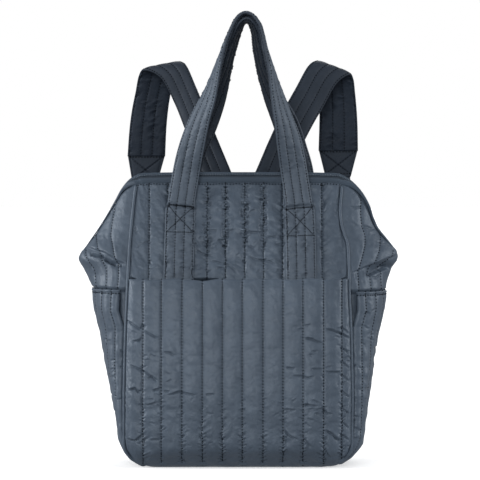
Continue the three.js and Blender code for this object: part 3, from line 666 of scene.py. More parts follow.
mouth = spline([(x, 0, z) for x, z in MOUTH_LINE], MOUTH_STEPS)
mouth_tangent = unit(np.gradient(mouth, axis=0))
mouth_out = np.stack([-mouth_tangent[:, 2], 0 * mouth_tangent[:, 0], mouth_tangent[:, 0]], -1)
mouth_height = through(RIM_ROWS, mouth[:, 2], 1)
print("mouth: %.0f mm from ear to ear" % run_along(mouth)[-1])

# %% Sections of the side strip
def strip_columns(half, height):
    """Distances of the columns from the seam over one half of a section. At the sides the stitch lines
    are shares of it; on the slopes they keep their distance from the seam, so they end at the rim."""
    on_slope = ramp(height, SLOPE_FOOT_Z, SLOPE_SPAN)
    marks = (1 - on_slope) * np.array(SIDE_SHARES) * half + on_slope * np.array(SLOPE_LINES)
    count = (len(marks) - 1) * STRIP_COLUMNS
    at = np.interp(np.arange(count + 1) / STRIP_COLUMNS, np.arange(len(marks)), marks)
    return np.minimum(at, half * (1 - 0.002 * np.arange(count, -1, -1)))


def section(station, setback, edge_step, outline_step):
    """A section of the side strip, from the front seam over the ridge to the back seam"""
    t = np.linspace(-1, 1, 241)
    power = 2 / station.squareness
    y = np.sign(t) * np.abs(np.sin(np.pi / 2 * t)) ** power * (station.depth - setback)
    fill = FLAT_FILL if station.squareness >= FLAT_SQUARENESS else 1
    lift = np.minimum(1, fill * np.cos(np.pi / 2 * t).clip(0) ** power)
    way = np.subtract(station.outline, station.seam)
    length = np.hypot(*way)
    tucked = 1 - station.tuck * np.sin(np.pi * np.abs(t))
    out = edge_step + (length - edge_step - outline_step) * lift * tucked
    x, z = [station.seam[k] + way[k] / length * out for k in (0, 1)]
    dense = np.stack([x, y, z], -1)
    run = run_along(dense)
    ahead = strip_columns(run[-1] / 2, station.seam[1])
    return read_at(dense, run, np.concatenate([ahead, run[-1] - ahead[-2::-1]]))


def slope_station(share, sign):
    """A section under the zip, at a share of the mouth's length from the ear"""
    k = int(round((share if sign < 0 else 1 - share) * MOUTH_STEPS))
    below_rim = float(ramp(mouth[k][2], EAR_TOP_Z, EAR_TOP_SPAN))
    ridge = mouth[k] - mouth_out[k] * (mouth_height[k] + RIM_CLEARANCE) * below_rim
    z = min(ridge[2], PANEL_TOP_Z - 2)
    seam = (sign * float(seam_half(z, sign)), z)
    return Station(seam, (ridge[0], ridge[2]), float(half_depth(z)), 1.55 - 0.18 * below_rim, 0.0, 0.0)


def side_station(z, sign):
    """A section at the side, at a height"""
    column = 1 if sign < 0 else 2
    outline, squareness, tuck = [float(through(SIDE_ROWS, z, c)) for c in (column, 4, 5)]
    room = float(through(SIDE_ROWS, z + max(0, sign) * RIGHT_POCKET_LOWER, 3))
    seam = (sign * float(seam_half(z, sign)), z)
    return Station(seam, (sign * outline, z), float(half_depth(z)), squareness, tuck, room)


def corner_station(turn, sign):
    """A section at a lower corner, at a turn in degrees from the side to the base"""
    angle, column = np.radians(turn), 1 if sign < 0 else 2
    centre = float(seam_half(CORNER_Z, sign)) - CORNER_RADIUS
    reach = float(through(SIDE_ROWS, CORNER_Z, column)) - centre
    seam = (sign * (centre + CORNER_RADIUS * np.cos(angle)), CORNER_Z - CORNER_RADIUS * np.sin(angle))
    outline = (sign * (centre + reach * max(np.cos(angle), 0) ** (2 / CORNER_ROUNDNESS)),
               CORNER_Z * (1 - np.sin(angle) ** (2 / CORNER_ROUNDNESS)))
    squareness = CORNER_SQUARENESS + CORNER_SQUARENESS_GAIN * turn / 90
    return Station(seam, outline, float(BASE_HALF_DEPTH), squareness, 0.0, CORNER_ROOM * (1 - turn / 90))


def base_station(x):
    """A section under the base"""
    return Station((x, SEAM_Z), (x, 0.0), float(BASE_HALF_DEPTH), FLAT_SQUARENESS, 0.0, 0.0)


def strip_half(sign):
    """The sections from the top of a slope down to the base"""
    slope = [slope_station(share, sign) for share in np.linspace(SLOPE_SHARE, 0, 34)]
    side = [side_station(z, sign) for z in SIDE_ROW_HEIGHTS]
    return slope + side + [corner_station(turn, sign) for turn in np.linspace(0, 90, 9)[1:]]


def strip_section(station):
    """A section of the strip, which stands back where a side pocket lies over it"""
    setback = EDGE_SETBACK + STRIP_SETBACK_IN_POCKET * min(1, station.room / 3)
    return section(station, setback, 0, station.room + SIDE_POCKET_WALL * min(1, station.room / 2))


def side_pocket_grid(sign):
    """A slip pocket, from its open top to below the corner"""
    top = SIDE_POCKET_TOP_Z - max(0, sign) * RIGHT_POCKET_LOWER
    stations = [side_station(z, sign) for z in np.linspace(top, CORNER_Z, 58)]
    stations += [corner_station(turn, sign) for turn in np.linspace(0, 72, 14)[1:]]
    gapes = [1 + SIDE_POCKET_GAPE * ramp(st.seam[1], GAPE_FOOT_Z, GAPE_SPAN) for st in stations]
    return np.array([section(st, EDGE_SETBACK, gape, 0.6) for st, gape in zip(stations, gapes)])


# %% Lay out the strip and its pockets
base_span = [sign * (float(seam_half(CORNER_Z, sign)) - CORNER_RADIUS) for sign in (-1, 1)]
base_stations = [base_station(x) for x in np.linspace(*base_span, 21)[1:-1]]
strip_grid = np.array([strip_section(st) for st in strip_half(-1) + base_stations + strip_half(1)[::-1]])
for turn in range(3):
    near_ear = np.clip(1.2 - np.abs(strip_grid[1:-1, :, 2:] - EAR_Z) / EAR_SPAN, 0, 1)
    strip_grid[1:-1] += near_ear * ((strip_grid[:-2] + strip_grid[2:]) / 2 - strip_grid[1:-1]) * 0.5
side_pocket = {sign: side_pocket_grid(sign) for sign in (-1, 1)}
print("side strip:", strip_grid.shape, "side pocket:", side_pocket[1].shape)

# %% Sew the sides and run the simulation
def away_from_core(grid):
    """Directions out of the body, for cloths that wrap round it"""
    core = np.stack([grid[..., 0] * 0.3, 0 * grid[..., 1], np.clip(grid[..., 2], 90, 180)], -1)
    return grid - core


FAR_FROM_RIDGE = 99
strip_share = np.arange(strip_grid.shape[1]) % STRIP_COLUMNS / STRIP_COLUMNS
strip_stitched = strip_share == 0
from_ridge = np.where(strip_grid[..., 2] > 209, np.abs(cloth_lengths(strip_grid)[0]), FAR_FROM_RIDGE)
strip_crown = 0.6 * np.sin(np.pi * strip_share) * ramp(from_ridge, 0, 5)
strip_free = ramp(strip_grid[..., 2], 168, 12)
sew("gusset", strip_grid, away_from_core(strip_grid), strip_crown, strip_stitched,
    cut_longer(strip_grid, (0.05 * strip_free)[1:, :, None], 0.02), 3.0, 0.28 * strip_free, pressure=2.0,
    fixed=from_ridge < 2)
for sign, side in ((-1, "left"), (1, "right")):
    grid = side_pocket[sign]
    low = level_mask(grid[..., 2], 0, 110, 60)
    crown = np.sin(np.pi * strip_share) ** 0.7 * np.ones((len(grid), 1))
    sew("side_pocket_" + side, grid, away_from_core(grid), crown, strip_stitched,
        cut_longer(grid, (0.03 + 0.03 * low)[1:, :, None], 0.02), 2.5, 0.18 + 0.35 * low)
swelled = simulate(sewn)

# %% [markdown]
# ## Tight stitch lines, creases and folds
# The simulation gives the soft swelling. What it cannot show at its spacing are the marks right at
# the needle: each stitch line is drawn a little into the cloth, and fine gathers stand along both
# sides of it like the barbs of a feather. They are added to a finer grid as a displacement along the
# normals. Sharp creases, where the slumped cloth folds over itself, are drawn along short paths in the
# front view: a groove with a rolled edge above it, fading out at both ends. Where an ear folds under,
# the cloth below the fold recedes much further, so that it lies in shade.

# %% Functions that work on a finer grid
GATHER_SPACING = 2.1
STITCH_VALLEY_WIDTH = 0.9
CREASE_WIDTH, CREASE_LIP = 0.85, 0.55
FRONT_DEPTH = 6  # a fold fades out over this depth at the ridge
OVER_REACH, UNDER_REACH, DROP_REACH = 9, 5, 5  # how far from its line a pleat moves the cloth
PLEAT_EDGE = 2.0


def tighten(grid, outward, lines, pull, seed, valley, reach=3.2, steady=0.35, slope=0.75, waves=0.9):
    """Draws the stitch lines into the cloth and gathers fine oblique puckers along both their sides"""
    across, along = cloth_lengths(grid)
    away, line = np.full(across.shape, 1e9), np.zeros(across.shape)
    for k, column in enumerate(lines):
        gap = across - across[:, column][:, None]
        closer = np.abs(gap) < away
        away = np.where(closer, np.abs(gap), away)
        line = np.where(closer, 2 * k + (gap > 0), line)
    # Both sides of each line read rows of the random fields that are far from each other
    slant = slope + 0.5 * cloth_field(line * 5.1, along, 1, 30, seed + 2)
    strength = np.clip(steady + 1.1 * cloth_field(line * 3.7, along, 1, 12, seed + 1), 0, 1.4)
    short = cloth_field(line * 7.3, along - slant * away, 1, GATHER_SPACING, seed)
    long = cloth_field(line * 9.1, along - 1.3 * slant * away, 1, 3.2 * GATHER_SPACING, seed + 3)
    groove = np.clip(1 - np.abs(short) / 0.3, 0, 1)
    close_by = (1.2 * short - 0.7 * groove) * np.exp(-away / reach)
    further_out = waves * long * np.exp(-away / (2.5 * reach))
    lift = pull * strength * (close_by + further_out) - valley * np.exp(-(away / STITCH_VALLEY_WIDTH) ** 2)
    return pushed(grid, outward, lift)


def beside_path(grid, path):
    """Signed distance from a path of (x, z) points in the front view, positive above it, and a fade at
    its ends"""
    path = np.asarray(path, float)
    x, z = grid[..., 0], grid[..., 2]
    best, offset, share = np.full(x.shape, 1e9), np.zeros(x.shape), np.zeros(x.shape)
    run = run_along(path)
    for k in range(len(path) - 1):
        way = (path[k + 1] - path[k]) / (run[k + 1] - run[k])
        reach = np.clip((x - path[k][0]) * way[0] + (z - path[k][1]) * way[1], 0, run[k + 1] - run[k])
        px, pz = x - path[k][0] - way[0] * reach, z - path[k][1] - way[1] * reach
        gap = np.hypot(px, pz)
        above = (pz * way[0] - px * way[1]) * np.sign(way[0]) > 0
        closer = gap < best
        best = np.where(closer, gap, best)
        offset = np.where(closer, np.where(above, gap, -gap), offset)
        share = np.where(closer, (run[k] + reach) / run[-1], share)
    return offset, np.clip(np.minimum(share, 1 - share) * 5, 0, 1) ** 0.7


def creased(grid, outward, rows, width=CREASE_WIDTH, lip=CREASE_LIP):
    """Folds along short paths: above each the cloth stands out and hangs over, below it is drawn into a
    narrow groove"""
    lift = np.zeros(grid.shape[:2])
    for depth, *path in rows:
        path = np.reshape(path, (-1, 2))
        low, high = path.min(axis=0) - 8 * width, path.max(axis=0) + 8 * width
        near = np.all((grid[..., [0, 2]] > low) & (grid[..., [0, 2]] < high), axis=-1)
        offset, fade = beside_path(grid[near], path)
        above = np.clip(offset / width + 0.5, 0, 1)
        hang = lip * above * np.exp(-np.maximum(offset, 0) / (3 * width))
        dip = -lip * (1 - above) * np.exp(np.minimum(offset, 0) / (2.5 * width))
        groove = -0.8 * np.exp(-((offset / width + 0.4) / 0.75) ** 2)
        lift[near] += depth * fade * (hang + dip + groove)
    return pushed(grid, outward, lift)


def pleat(grid, outward, path, over, under, drop):
    """A fold on the front: what is above hangs over by a little, what is below is tucked in"""
    offset, fade = beside_path(grid, path)
    hang = over * np.exp(-(np.maximum(offset, 0) / OVER_REACH) ** 2)
    tuck = -under * np.exp(-(np.minimum(offset + PLEAT_EDGE, 0) / UNDER_REACH) ** 2)
    mix = np.clip(offset / PLEAT_EDGE + 0.5, 0, 1)
    facing = ramp(-grid[..., 1], 0, FRONT_DEPTH) * fade
    moved = pushed(grid, outward, (tuck * (1 - mix) + hang * mix) * facing)
    moved[..., 2] -= drop * mix * np.exp(-(np.maximum(offset, 0) / DROP_REACH) ** 2) * facing
    return moved


def undercut(grid, outward, path, height, depth):
    """Below a path on the front the cloth recedes, in shade, until a lower edge stands out again"""
    offset, fade = beside_path(grid, path)
    recede = np.interp(-offset, (0, height, 1.3 * height), (0, depth, 0))
    facing = ramp(-grid[..., 1], 0, FRONT_DEPTH) * fade
    return pushed(grid, outward, -recede * facing)


# %% Where the creases are
def small_creases(seed, count, low, high, depth):
    """Short creases at random places between two corners (x, z), each a little bent"""
    draw = np.random.default_rng(seed)
    rows = []
    for k in range(count):
        start = draw.uniform(low, high)
        way = draw.choice([-1, 1]) * np.array([draw.uniform(3, 7), 0]) + np.array([0, draw.uniform(-4, 4)])
        bend = np.array([0, draw.uniform(-1.2, 1.2)])
        rows.append((depth * draw.uniform(0.5, 1.1), *start, *(start + way / 2 + bend), *(start + way)))
    return rows


def feathers(seed, lines, low, high, pitch, length, depth):
    """Short creases that leave upright stitch lines on both sides and rise outwards, like the barbs of
    a feather"""
    draw = np.random.default_rng(seed)
    rows = []
    for x in lines:
        for side in (-1, 1):
            z = low + draw.uniform(0, pitch)
            while z < high:
                out, up = length * draw.uniform(0.5, 1.3), length * draw.uniform(0.2, 0.9)
                path = (x - side, z - 0.4, x + side * out / 2, z + up * 0.6, x + side * out, z + up)
                rows.append((depth * draw.uniform(0.5, 1.2), *path))
                z += pitch * draw.uniform(0.6, 1.5)
    return rows


PANEL_CREASES = [
    # depth, then x and z along the crease
    (1.3, -30.2, 206.5, -18.2, 203.7, -11.2, 201.9, -6.7, 198.5, -2.2, 193),
    (1.3, -43.8, 216.5, -38.9, 213.5, -34.4, 211.7, -26.8, 211.3),
    (1.3, 8.4, 211.7, 14.8, 207.7, 22.8, 206.5, 29.8, 205.5, 36.8, 201), (1.4, 8.4, 221.5, 14.8, 218),
    (1.5, 26.8, 229.5, 36.8, 229.8), (1.5, 8.8, 234.5, 19.3, 234.3), (1.1, -31, 236, -22, 235.8),
    (1.0, -41.6, 233.5, -36.7, 235.8), (1.0, -21.7, 226.5, -16.2, 225), (1.1, 35.7, 222.9, 40.6, 222),
    (1.2, -46.9, 224.2, -42, 222), (0.9, -29, 218.9, -23, 221.6)]
POCKET_CREASE_GAIN = 1.45
POCKET_CREASES = [
    (1.3, -112.9, 147.6, -99.7, 139, -96.8, 141.3), (1.4, -95.1, 137.3, -81.3, 129.8),
    (1.0, -107.1, 126.4, -98.5, 128.1), (1.5, -108.8, 102.9, -96.8, 98.3, -81.3, 87.4),
    (1.5, -111.1, 78.2, -104.2, 80.5, -100.8, 77, -97.4, 78.5), (1.2, -87, 78.2, -78.5, 80.8),
    (1.0, -75.5, 78.2, -69.8, 77), (1.3, -71.5, 73.6, -60.6, 77.6, -43.5, 73.6),
    (0.6, -34.2, 74.7, -25, 74.7), (0.9, -93.9, 65, -91.6, 63.8, -82.5, 66.7),
    (0.9, -75.5, 116.6, -68.6, 115.5, -64.6, 112.6), (1.4, -112.3, 29.4, -104.2, 28.2, -96.2, 35.1),
    (1.0, -89.3, 29.4, -80.1, 29.4), (1.5, 85.1, 139, 90.9, 138.4, 101.2, 134.4, 109.2, 129.3),
    (1.3, 63.9, 130.4, 70.2, 129.8, 81.7, 124.7), (0.9, 45.5, 101.1, 54.7, 100.6),
    (1.0, 71.3, 100, 81.1, 99.6), (1.4, 85.1, 97.1, 100.1, 96),
    (1.0, 53, 93.1, 62.2, 93.1, 66.8, 90.8, 73.6, 92.5), (1.2, 62.7, 65, 77.1, 62.7),
    (0.9, 43.8, 59.8, 55.3, 59.2), (1.1, 75.9, 58.7, 81.7, 61, 86.3, 55.8, 92, 54.6),
    (1.8, 85.7, 38.6, 92, 35.1, 98.9, 27.1), (1.2, 43.8, 39.7, 48.4, 34, 57.5, 29.4),
    (1.2, 63.3, 30.5, 71.3, 21.3), (1.3, 84, 20.2, 89.7, 11)]
NARROW_CHANNEL_HEIGHTS = (137, 117, 103, 90, 74, 57, 43, 31)
EAR_PLEATS = [
    # how far it hangs over, is tucked under and drops, then x and z along the fold
    (1.2, 1.8, 1.2, -156, 219.5, -147, 217.4, -136, 214.5, -129, 210.5, -122, 205.8, -114, 202.5),
    (1.2, 1.8, 1.2, 110, 193.5, 117, 196.5, 126, 200.5, 136, 203.5, 148, 208, 160, 212)]
POCKET_MOUTH_GAPS = [
    (0.6, 8.0, 0.4, -52, 187.4, -36, 188.2, -21, 187.4), (0.2, 5, 0.2, -113, 187.4, -108, 188.8, -103, 187.6),
    (0.2, 5, 0.2, 101, 187.4, 105.5, 188.8, 110, 187.6)]
EAR_FOLDS = [
    # height of the shaded underside, depth, then x and z along its upper edge
    (2.8, 6.5, -150, 213.6, -143.5, 212.4, -136, 211.4), (3.6, 7.5, -136, 210, -129.5, 206.8, -121.5, 203.4),
    (2, 3.5, -122.5, 203.8, -117, 201.2), (8, 7, 123, 198.4, 130, 201.2, 136, 203.2, 145, 205.2, 152, 205),
    (1.6, 1.8, 130, 191.6, 135.5, 189.2, 141, 191.8), (2, 2, 122, 241.5, 129, 239.6, 136, 237.2),
    (1.6, 1.4, 110, 260, 116, 258.8, 122, 259.8), (1.5, 1.2, 106.5, 249, 113, 244, 119, 240.6),
    (1.5, 1.2, 137.5, 225.2, 142, 224, 147, 223)]
print("creases:", len(PANEL_CREASES) + len(POCKET_CREASES), "folds of the ears:", len(EAR_FOLDS))

# %% [markdown]
# ## Close the quilted walls
# Each swelled cloth gets its stitch lines, creases and folds, and an inner face at the wall's thickness
# behind the flat cloth, so that the wall is a closed piece. Under a deep fold the inner face gives way
# as far as the fold goes in. Every wall replaces its solid and rides on the body.

# %% A function for a quilted wall
FINE, BACK_FINE = 3, 2
QUILT_WALL, SIDE_POCKET_QUILT_WALL = 2.0, 1.8  # thickness
HEM_HEIGHT = 2.6
HEM_GROOVE_BELOW = 0.9
FLOOR_GAP = 0.05  # no cloth goes below the floor
fine_grids = {}


def drawn_in(flat, grid, outward, times):
    """How far the cloth near each point of the coarse grid lies below its flat place, at the deepest"""
    sunk = np.maximum(((flat - grid) * normals_of(flat, outward)).sum(axis=-1), 0)
    wide = np.pad(sunk, times, mode="edge")
    rows, columns = sunk.shape
    near = [wide[a:a + rows, b:b + columns] for a in range(2 * times + 1) for b in range(2 * times + 1)]
    return np.max(near, axis=0)[::times, ::times]


def hem_shape(flat, row, roll, groove):
    """A rolled edge along one row of the cloth, and the groove of its stitches below it"""
    below = np.linalg.norm(flat - flat[row], axis=-1)
    rolled = roll * np.sin(np.pi * np.clip(below / HEM_HEIGHT, 0, 1))
    return rolled - groove * np.exp(-((below - HEM_HEIGHT - HEM_GROOVE_BELOW) / HEM_GROOVE_BELOW) ** 2)


def quilted(name, outward_of, pull, wall, seed, creases=(), pleats=(), folds=(), times=FINE, hem=None,
            soft_dents=0.4, per_channel=CHANNEL_COLUMNS, valley=0.9):
    """A finished quilted wall from a swelled cloth"""
    flat = finer(sewn[name]["flat"], times)
    outward = outward_of(flat)
    lines = np.arange(0, flat.shape[1], per_channel * times)
    grid = finer(swelled[name], times)
    across, along = cloth_lengths(flat)
    between = np.min([np.abs(across - across[:, c][:, None]) for c in lines], axis=0)
    dents = (cloth_field(across, along, 11, 16, seed + 60)
             + 0.6 * cloth_field(across + 0.6 * along, along, 6, 9, seed + 61))
    grid = pushed(grid, outward, soft_dents * dents * ramp(between, 0, 5))
    if hem:
        grid = pushed(grid, outward, hem_shape(flat, *hem))
    for over, under, drop, *path in pleats:
        grid = pleat(grid, outward, np.reshape(path, (-1, 2)), over, under, drop)
    for height, depth, *path in folds:
        grid = undercut(grid, outward, np.reshape(path, (-1, 2)), height, depth)
    grid = tighten(grid, outward, lines, pull, seed, valley)
    grid = creased(grid, outward, creases)
    grid[..., 2] = np.maximum(grid[..., 2], FLOOR_GAP)
    behind = wall + drawn_in(flat, grid, outward, times)
    inner = sewn[name]["flat"]
    inner = pushed(inner, outward_of(inner), -behind)
    lengths, cloths = np.stack([across, along], -1), [quilted_nylon, plain_lining]
    piece = wall_piece(name + "_cloth", grid, inner, lengths, cloths, times, crisp=True)
    finish_piece(piece, name)
    fine_grids[name] = grid


def forwards(grid):
    return np.broadcast_to(front, grid.shape)


def backwards(grid):
    return -forwards(grid)


# %% Make the front panel and its pocket
# Random creases are given by seed, count, two corners and depth; feathers by seed, stitch lines, lowest
# and highest z, pitch, length and depth; a hem by its row, its roll and the depth of its groove
panel_fine = finer(panel_grid, FINE)
panel_pull = 0.6 + 1.6 * (level_mask(panel_fine[..., 2], 226, 276, 25)
                          * level_mask(panel_fine[..., 0], -50, 75, 40))
panel_creases = (
    PANEL_CREASES + small_creases(81, 36, (-45, 192), (100, 262), 0.8)
    + small_creases(82, 14, (-105, 192), (-76, 270), 0.6)
    + feathers(91, PANEL_LINES[3:7], 219, 279, 2.3, 3.4, 1.9)
    + feathers(92, PANEL_LINES[2:8], 192, 276, 8, 4, 0.8)
    + feathers(93, (*PANEL_LINES[:2], PANEL_LINES[9]), 192, 270, 9, 3, 0.5))
quilted("front_panel", forwards, panel_pull, QUILT_WALL, seed=3, creases=panel_creases,
        pleats=POCKET_MOUTH_GAPS, valley=0.6 + 0.3 * panel_pull, soft_dents=0.7)
pocket_foot = 1 - ramp(finer(pocket_grid, FINE)[..., 2], 20, 60)
pocket_creases = (
    [(POCKET_CREASE_GAIN * depth, *path) for depth, *path in POCKET_CREASES]
    + small_creases(83, 26, (-112, 22), (-62, 150), 0.8) + small_creases(84, 30, (50, 14), (110, 145), 0.9)
    + small_creases(85, 12, (-60, 14), (50, 60), 0.6) + feathers(94, POCKET_LINES[2:], 4, 34, 3.2, 3.6, 1.1)
    + feathers(95, POCKET_LINES, 30, 70, 9, 3.5, 0.7)
    + [(1.1, 99.5, z + 4, 104, z + 1.5, 108.5, z - 3) for z in NARROW_CHANNEL_HEIGHTS])
quilted("front_pocket", forwards, 0.3 + 0.9 * pocket_foot, QUILT_WALL, seed=5, creases=pocket_creases,
        hem=(-1, 0.5, 0), valley=0.4)

# %% Make the back panel, the side strip and the slip pockets
quilted("back_panel", backwards, 0.25, QUILT_WALL, seed=7, times=BACK_FINE)
quilted("gusset", away_from_core, 0.35, QUILT_WALL, seed=9, pleats=EAR_PLEATS, folds=EAR_FOLDS,
        per_channel=STRIP_COLUMNS, valley=0.4, soft_dents=0.25)
slip_creases = {
    "left": (11, small_creases(86, 16, (-138, 40), (-114, 130), 0.9)),
    "right": (13, small_creases(87, 26, (111, 26), (140, 158), 1.1))}
for side, (seed, creases) in slip_creases.items():
    quilted("side_pocket_" + side, away_from_core, 0.35, SIDE_POCKET_QUILT_WALL, seed, creases,
            hem=(0, 0.9, 0.8), per_channel=STRIP_COLUMNS, valley=0.4)

# %% [markdown]
# ## Corded seams
# A thin cord, wrapped in a bias strip of the shell cloth, is sewn between each panel and the side
# strip. It follows the seam down one side, round the two lower corners, along the base and up the
# other side. A round section swept along that path is enough, with a slight irregularity in its radius
# where the wrapping is gathered.

# %% Sweep the cords
CORD_TOP_Z = 279.5
CORD_STEP = 2.0
CORD_SIDE_LENGTH, CORD_BASE_LENGTH = 240, 165
FRONT_CORD_Z, FRONT_CORD_TUCK = 4, 6


def swept_piece(name, path, across, normal, half_width, half_height, uv_scale, materials, sides=12,
                power=2.0):
    """A closed rod of oval or rounded section along a path, given its two directions at each point"""
    turn = np.arange(sides) * 2 * np.pi / sides
    c, s = [np.sign(f(turn)) * np.abs(f(turn)) ** (2 / power) for f in (np.cos, np.sin)]
    wide, high = [np.broadcast_to(np.asarray(v, float).reshape(-1, 1, 1), (len(path), 1, 1))
                  for v in (half_width, half_height)]
    rings = path[:, None] + across[:, None] * wide * c[:, None] + normal[:, None] * high * s[:, None]
    number = np.arange(len(path) * sides).reshape(len(path), sides)
    quads = quads_of(np.concatenate([number, number[:, :1]], axis=1))
    points = np.concatenate([rings.reshape(-1, 3), path[:1], path[-1:]])
    triangles = np.concatenate([
        np.stack([ring, np.roll(ring, -way), np.full(sides, len(points) - 2 + k)], -1)
        for k, (ring, way) in enumerate(((number[0], 1), (number[-1], -1)))])
    if signed_volume(points, quads, triangles) < 0:
        quads, triangles = quads[:, ::-1], triangles[:, ::-1]
    run = run_along(path)
    girth = np.broadcast_to(np.abs(turn - np.pi) * uv_scale, (len(path), sides))
    uv = np.stack([girth, np.repeat(run[:, None], sides, 1)], -1)
    uv = np.concatenate([uv.reshape(-1, 2), [[0, 0], [0, run[-1]]]])
    return mesh_piece(name, points, quads.tolist() + triangles.tolist(), uv, materials)


def seam_path(facing, low, radius, tuck):
    """The way of a corded seam, from the left end at the mouth to the right one"""
    heights = np.linspace(CORD_TOP_Z, low + radius, int(CORD_SIDE_LENGTH / CORD_STEP))
    turn = np.linspace(0, np.pi / 2, int(1.57 * radius / CORD_STEP))[1:]
    tucked = facing * (BASE_HALF_DEPTH - tuck * np.sin(turn) ** 3)
    sides = {}
    for sign in (-1, 1):
        down = np.stack([sign * seam_half(heights, sign), facing * half_depth(heights), heights], -1)
        centre = float(seam_half(low + radius, sign)) - radius
        corner = np.stack([
            sign * (centre + radius * np.cos(turn)), tucked, low + radius - radius * np.sin(turn)], -1)
        sides[sign] = np.concatenate([down, corner])
    middle = np.linspace(sides[-1][-1], sides[1][-1], int(CORD_BASE_LENGTH / CORD_STEP))[1:-1]
    return np.concatenate([sides[-1], middle, sides[1][::-1]])


for facing, node, low, radius, tuck in (
        (-1, "piping_front", FRONT_CORD_Z, POCKET_CORNER_RADIUS, FRONT_CORD_TUCK),
        (1, "piping_back", SEAM_Z, CORNER_RADIUS, 0)):
    path = seam_path(facing, low, radius, tuck)
    tangent = unit(np.gradient(path, axis=0))
    ahead = unit(np.array([0, facing, 0.0]) - tangent * tangent[:, 1:2] * facing)
    uneven = cloth_field(np.arange(len(path)) * CORD_STEP, 0 * path[:, 0], 5, 1, 21)
    thick = CORD_RADIUS * (1 + 0.08 * uneven)
    cord = swept_piece(node + "_cord", path, np.cross(tangent, ahead), ahead, thick, thick, CORD_RADIUS,
                       [quilted_nylon])
    finish_piece(cord, node)

# %% [markdown]
# ## Bound rims and zip
# The mouth closes in a straight line over the top and down both slopes to the ears. In front and at the
# back a strip of tape binds the edge; between them lies the zip tape with its coil. The front rim
# stands a little lower than the back one, so the zip and the back rim show as narrow stripes above it.
# All three follow one curve, and their lower edges reach below the tops of the panels. Low on the
# slopes the front rim is covered by the cloth of the shell. A bevelled curve has one section from end
# to end, so the strips are swept instead, with a width and a depth of their own at every point.

# %% Bind the mouth
RIM_OVERLAP = 1.4
RIM_STEP = 2.0
RIM_ENDS_SPAN = 9
RIM_TURN_Z, RIM_TURN_SPAN = 277, 13  # where the slopes turn into the straight top
FRONT_TOP_SHARE, ZIP_TOP_SHARE = 0.5, 0.36
COVERED_LEFT_X, COVERED_LEFT_Z, COVERED_Z = -105, 283, 241
# On the left slope the strips get narrower and thinner towards the ear: from z, over a span, down to
LEFT_OVERLAP_Z, LEFT_OVERLAP_SPAN, LEFT_LEAST_OVERLAP = 270, 15, 0.3
LEFT_DEPTH_Z, LEFT_DEPTH_SPAN, LEFT_LEAST_DEPTH = 258, 24, 0.5
rim_range = np.flatnonzero(mouth[:, 2] > EAR_TOP_Z + 3)[::4]


def rim_piece(name, y_low, y_high, top_share, materials, power=3.2, wave=0.0):
    """A strip along the mouth, from a share of its height down to just below the panel's edge"""
    at, out, height = mouth[rim_range], mouth_out[rim_range], mouth_height[rim_range, None]
    left, z = at[:, :1] < 0, at[:, 2:]
    top_share = top_share * ramp(z, RIM_TURN_Z, RIM_TURN_SPAN) + (1 - ramp(z, EAR_TOP_Z, RIM_ENDS_SPAN))
    narrow = np.maximum(ramp(z, LEFT_OVERLAP_Z, LEFT_OVERLAP_SPAN), LEFT_LEAST_OVERLAP)
    thin = np.maximum(ramp(z, LEFT_DEPTH_Z, LEFT_DEPTH_SPAN), LEFT_LEAST_DEPTH)
    overlap = RIM_OVERLAP * np.where(left, narrow, 1)
    squeeze = np.where(left, thin, 1)[:, 0]
    middle = at - out * (height * (1 + top_share) + overlap) / 2
    run = np.arange(len(middle)) * RIM_STEP
    middle[:, 1] += squeeze * (y_low + y_high) / 2 + wave * cloth_field(run, 0 * run, 9, 1, 31)
    half = (height * (1 - top_share) + overlap)[:, 0] / 2
    depth = np.array([0, 1.0, 0]) * np.ones((len(middle), 1))
    piece = swept_piece(name, middle, depth, out, squeeze * (y_high - y_low) / 2, half, 3.0, materials,
                        sides=20, power=power)
    for face in piece.data.polygons:
        x, z = face.center.x / MM, face.center.z / MM
        covered = z < (COVERED_LEFT_Z if x < COVERED_LEFT_X else COVERED_Z)
        face.material_index = int(len(materials) > 1 and covered)
    return piece


front_rim = rim_piece("mouth_band_front_cloth", -4.9, -1.9, FRONT_TOP_SHARE, [trim_tape, quilted_nylon],
                      wave=0.25)
finish_piece(front_rim, "mouth_band_front")
back_rim = rim_piece("mouth_band_back_cloth", 1.9, 4.7, 0.0, [trim_tape], wave=0.25)
finish_piece(back_rim, "mouth_band_back")
closed_zip = rim_piece("zip_tape_cloth", -1.7, 1.7, ZIP_TOP_SHARE, [zip_tape], power=4)
finish_piece(closed_zip, "zip")

# %% [markdown]
# ## Straps in general
# A quilted strap could be a bevelled curve, but that has no channels or puckers. So each strap has a
# route, with its centre, the direction across it and the direction of its outer face at equal steps,
# and its outer and inner face are two grids along that route, close together at the edges and apart in
# the channels. Where a strap is sewn down, stitches run across it and over the two diagonals of a box.

# %% Functions for quilted straps
EDGE_COLUMNS = 3
STRAP_STEADY = 0.6
CALM_EDGE = 0.12  # share of the half width at each edge that has fewer puckers
STRAP_STITCH_LIFT, BOX_STITCH_LIFT = 0.25, 0.35
BOX_POINTS = 16
BOX_DOUBLED = 0.45  # rows between the two stitch lines at the top of a box
strap_lines, box_lines = {}, []


def strap_columns(lines, per_channel):
    """Places across a strap from -1 to 1, with every stitch line on one of them, and the lines' columns"""
    marks = [-1, *lines, 1]
    counts = [EDGE_COLUMNS] + [per_channel] * (len(lines) - 1) + [EDGE_COLUMNS]
    parts = [np.linspace(a, b, n + 1)[:-1] for a, b, n in zip(marks, marks[1:], counts)]
    return np.concatenate(parts + [[1.0]]), np.cumsum(counts)[:-1]


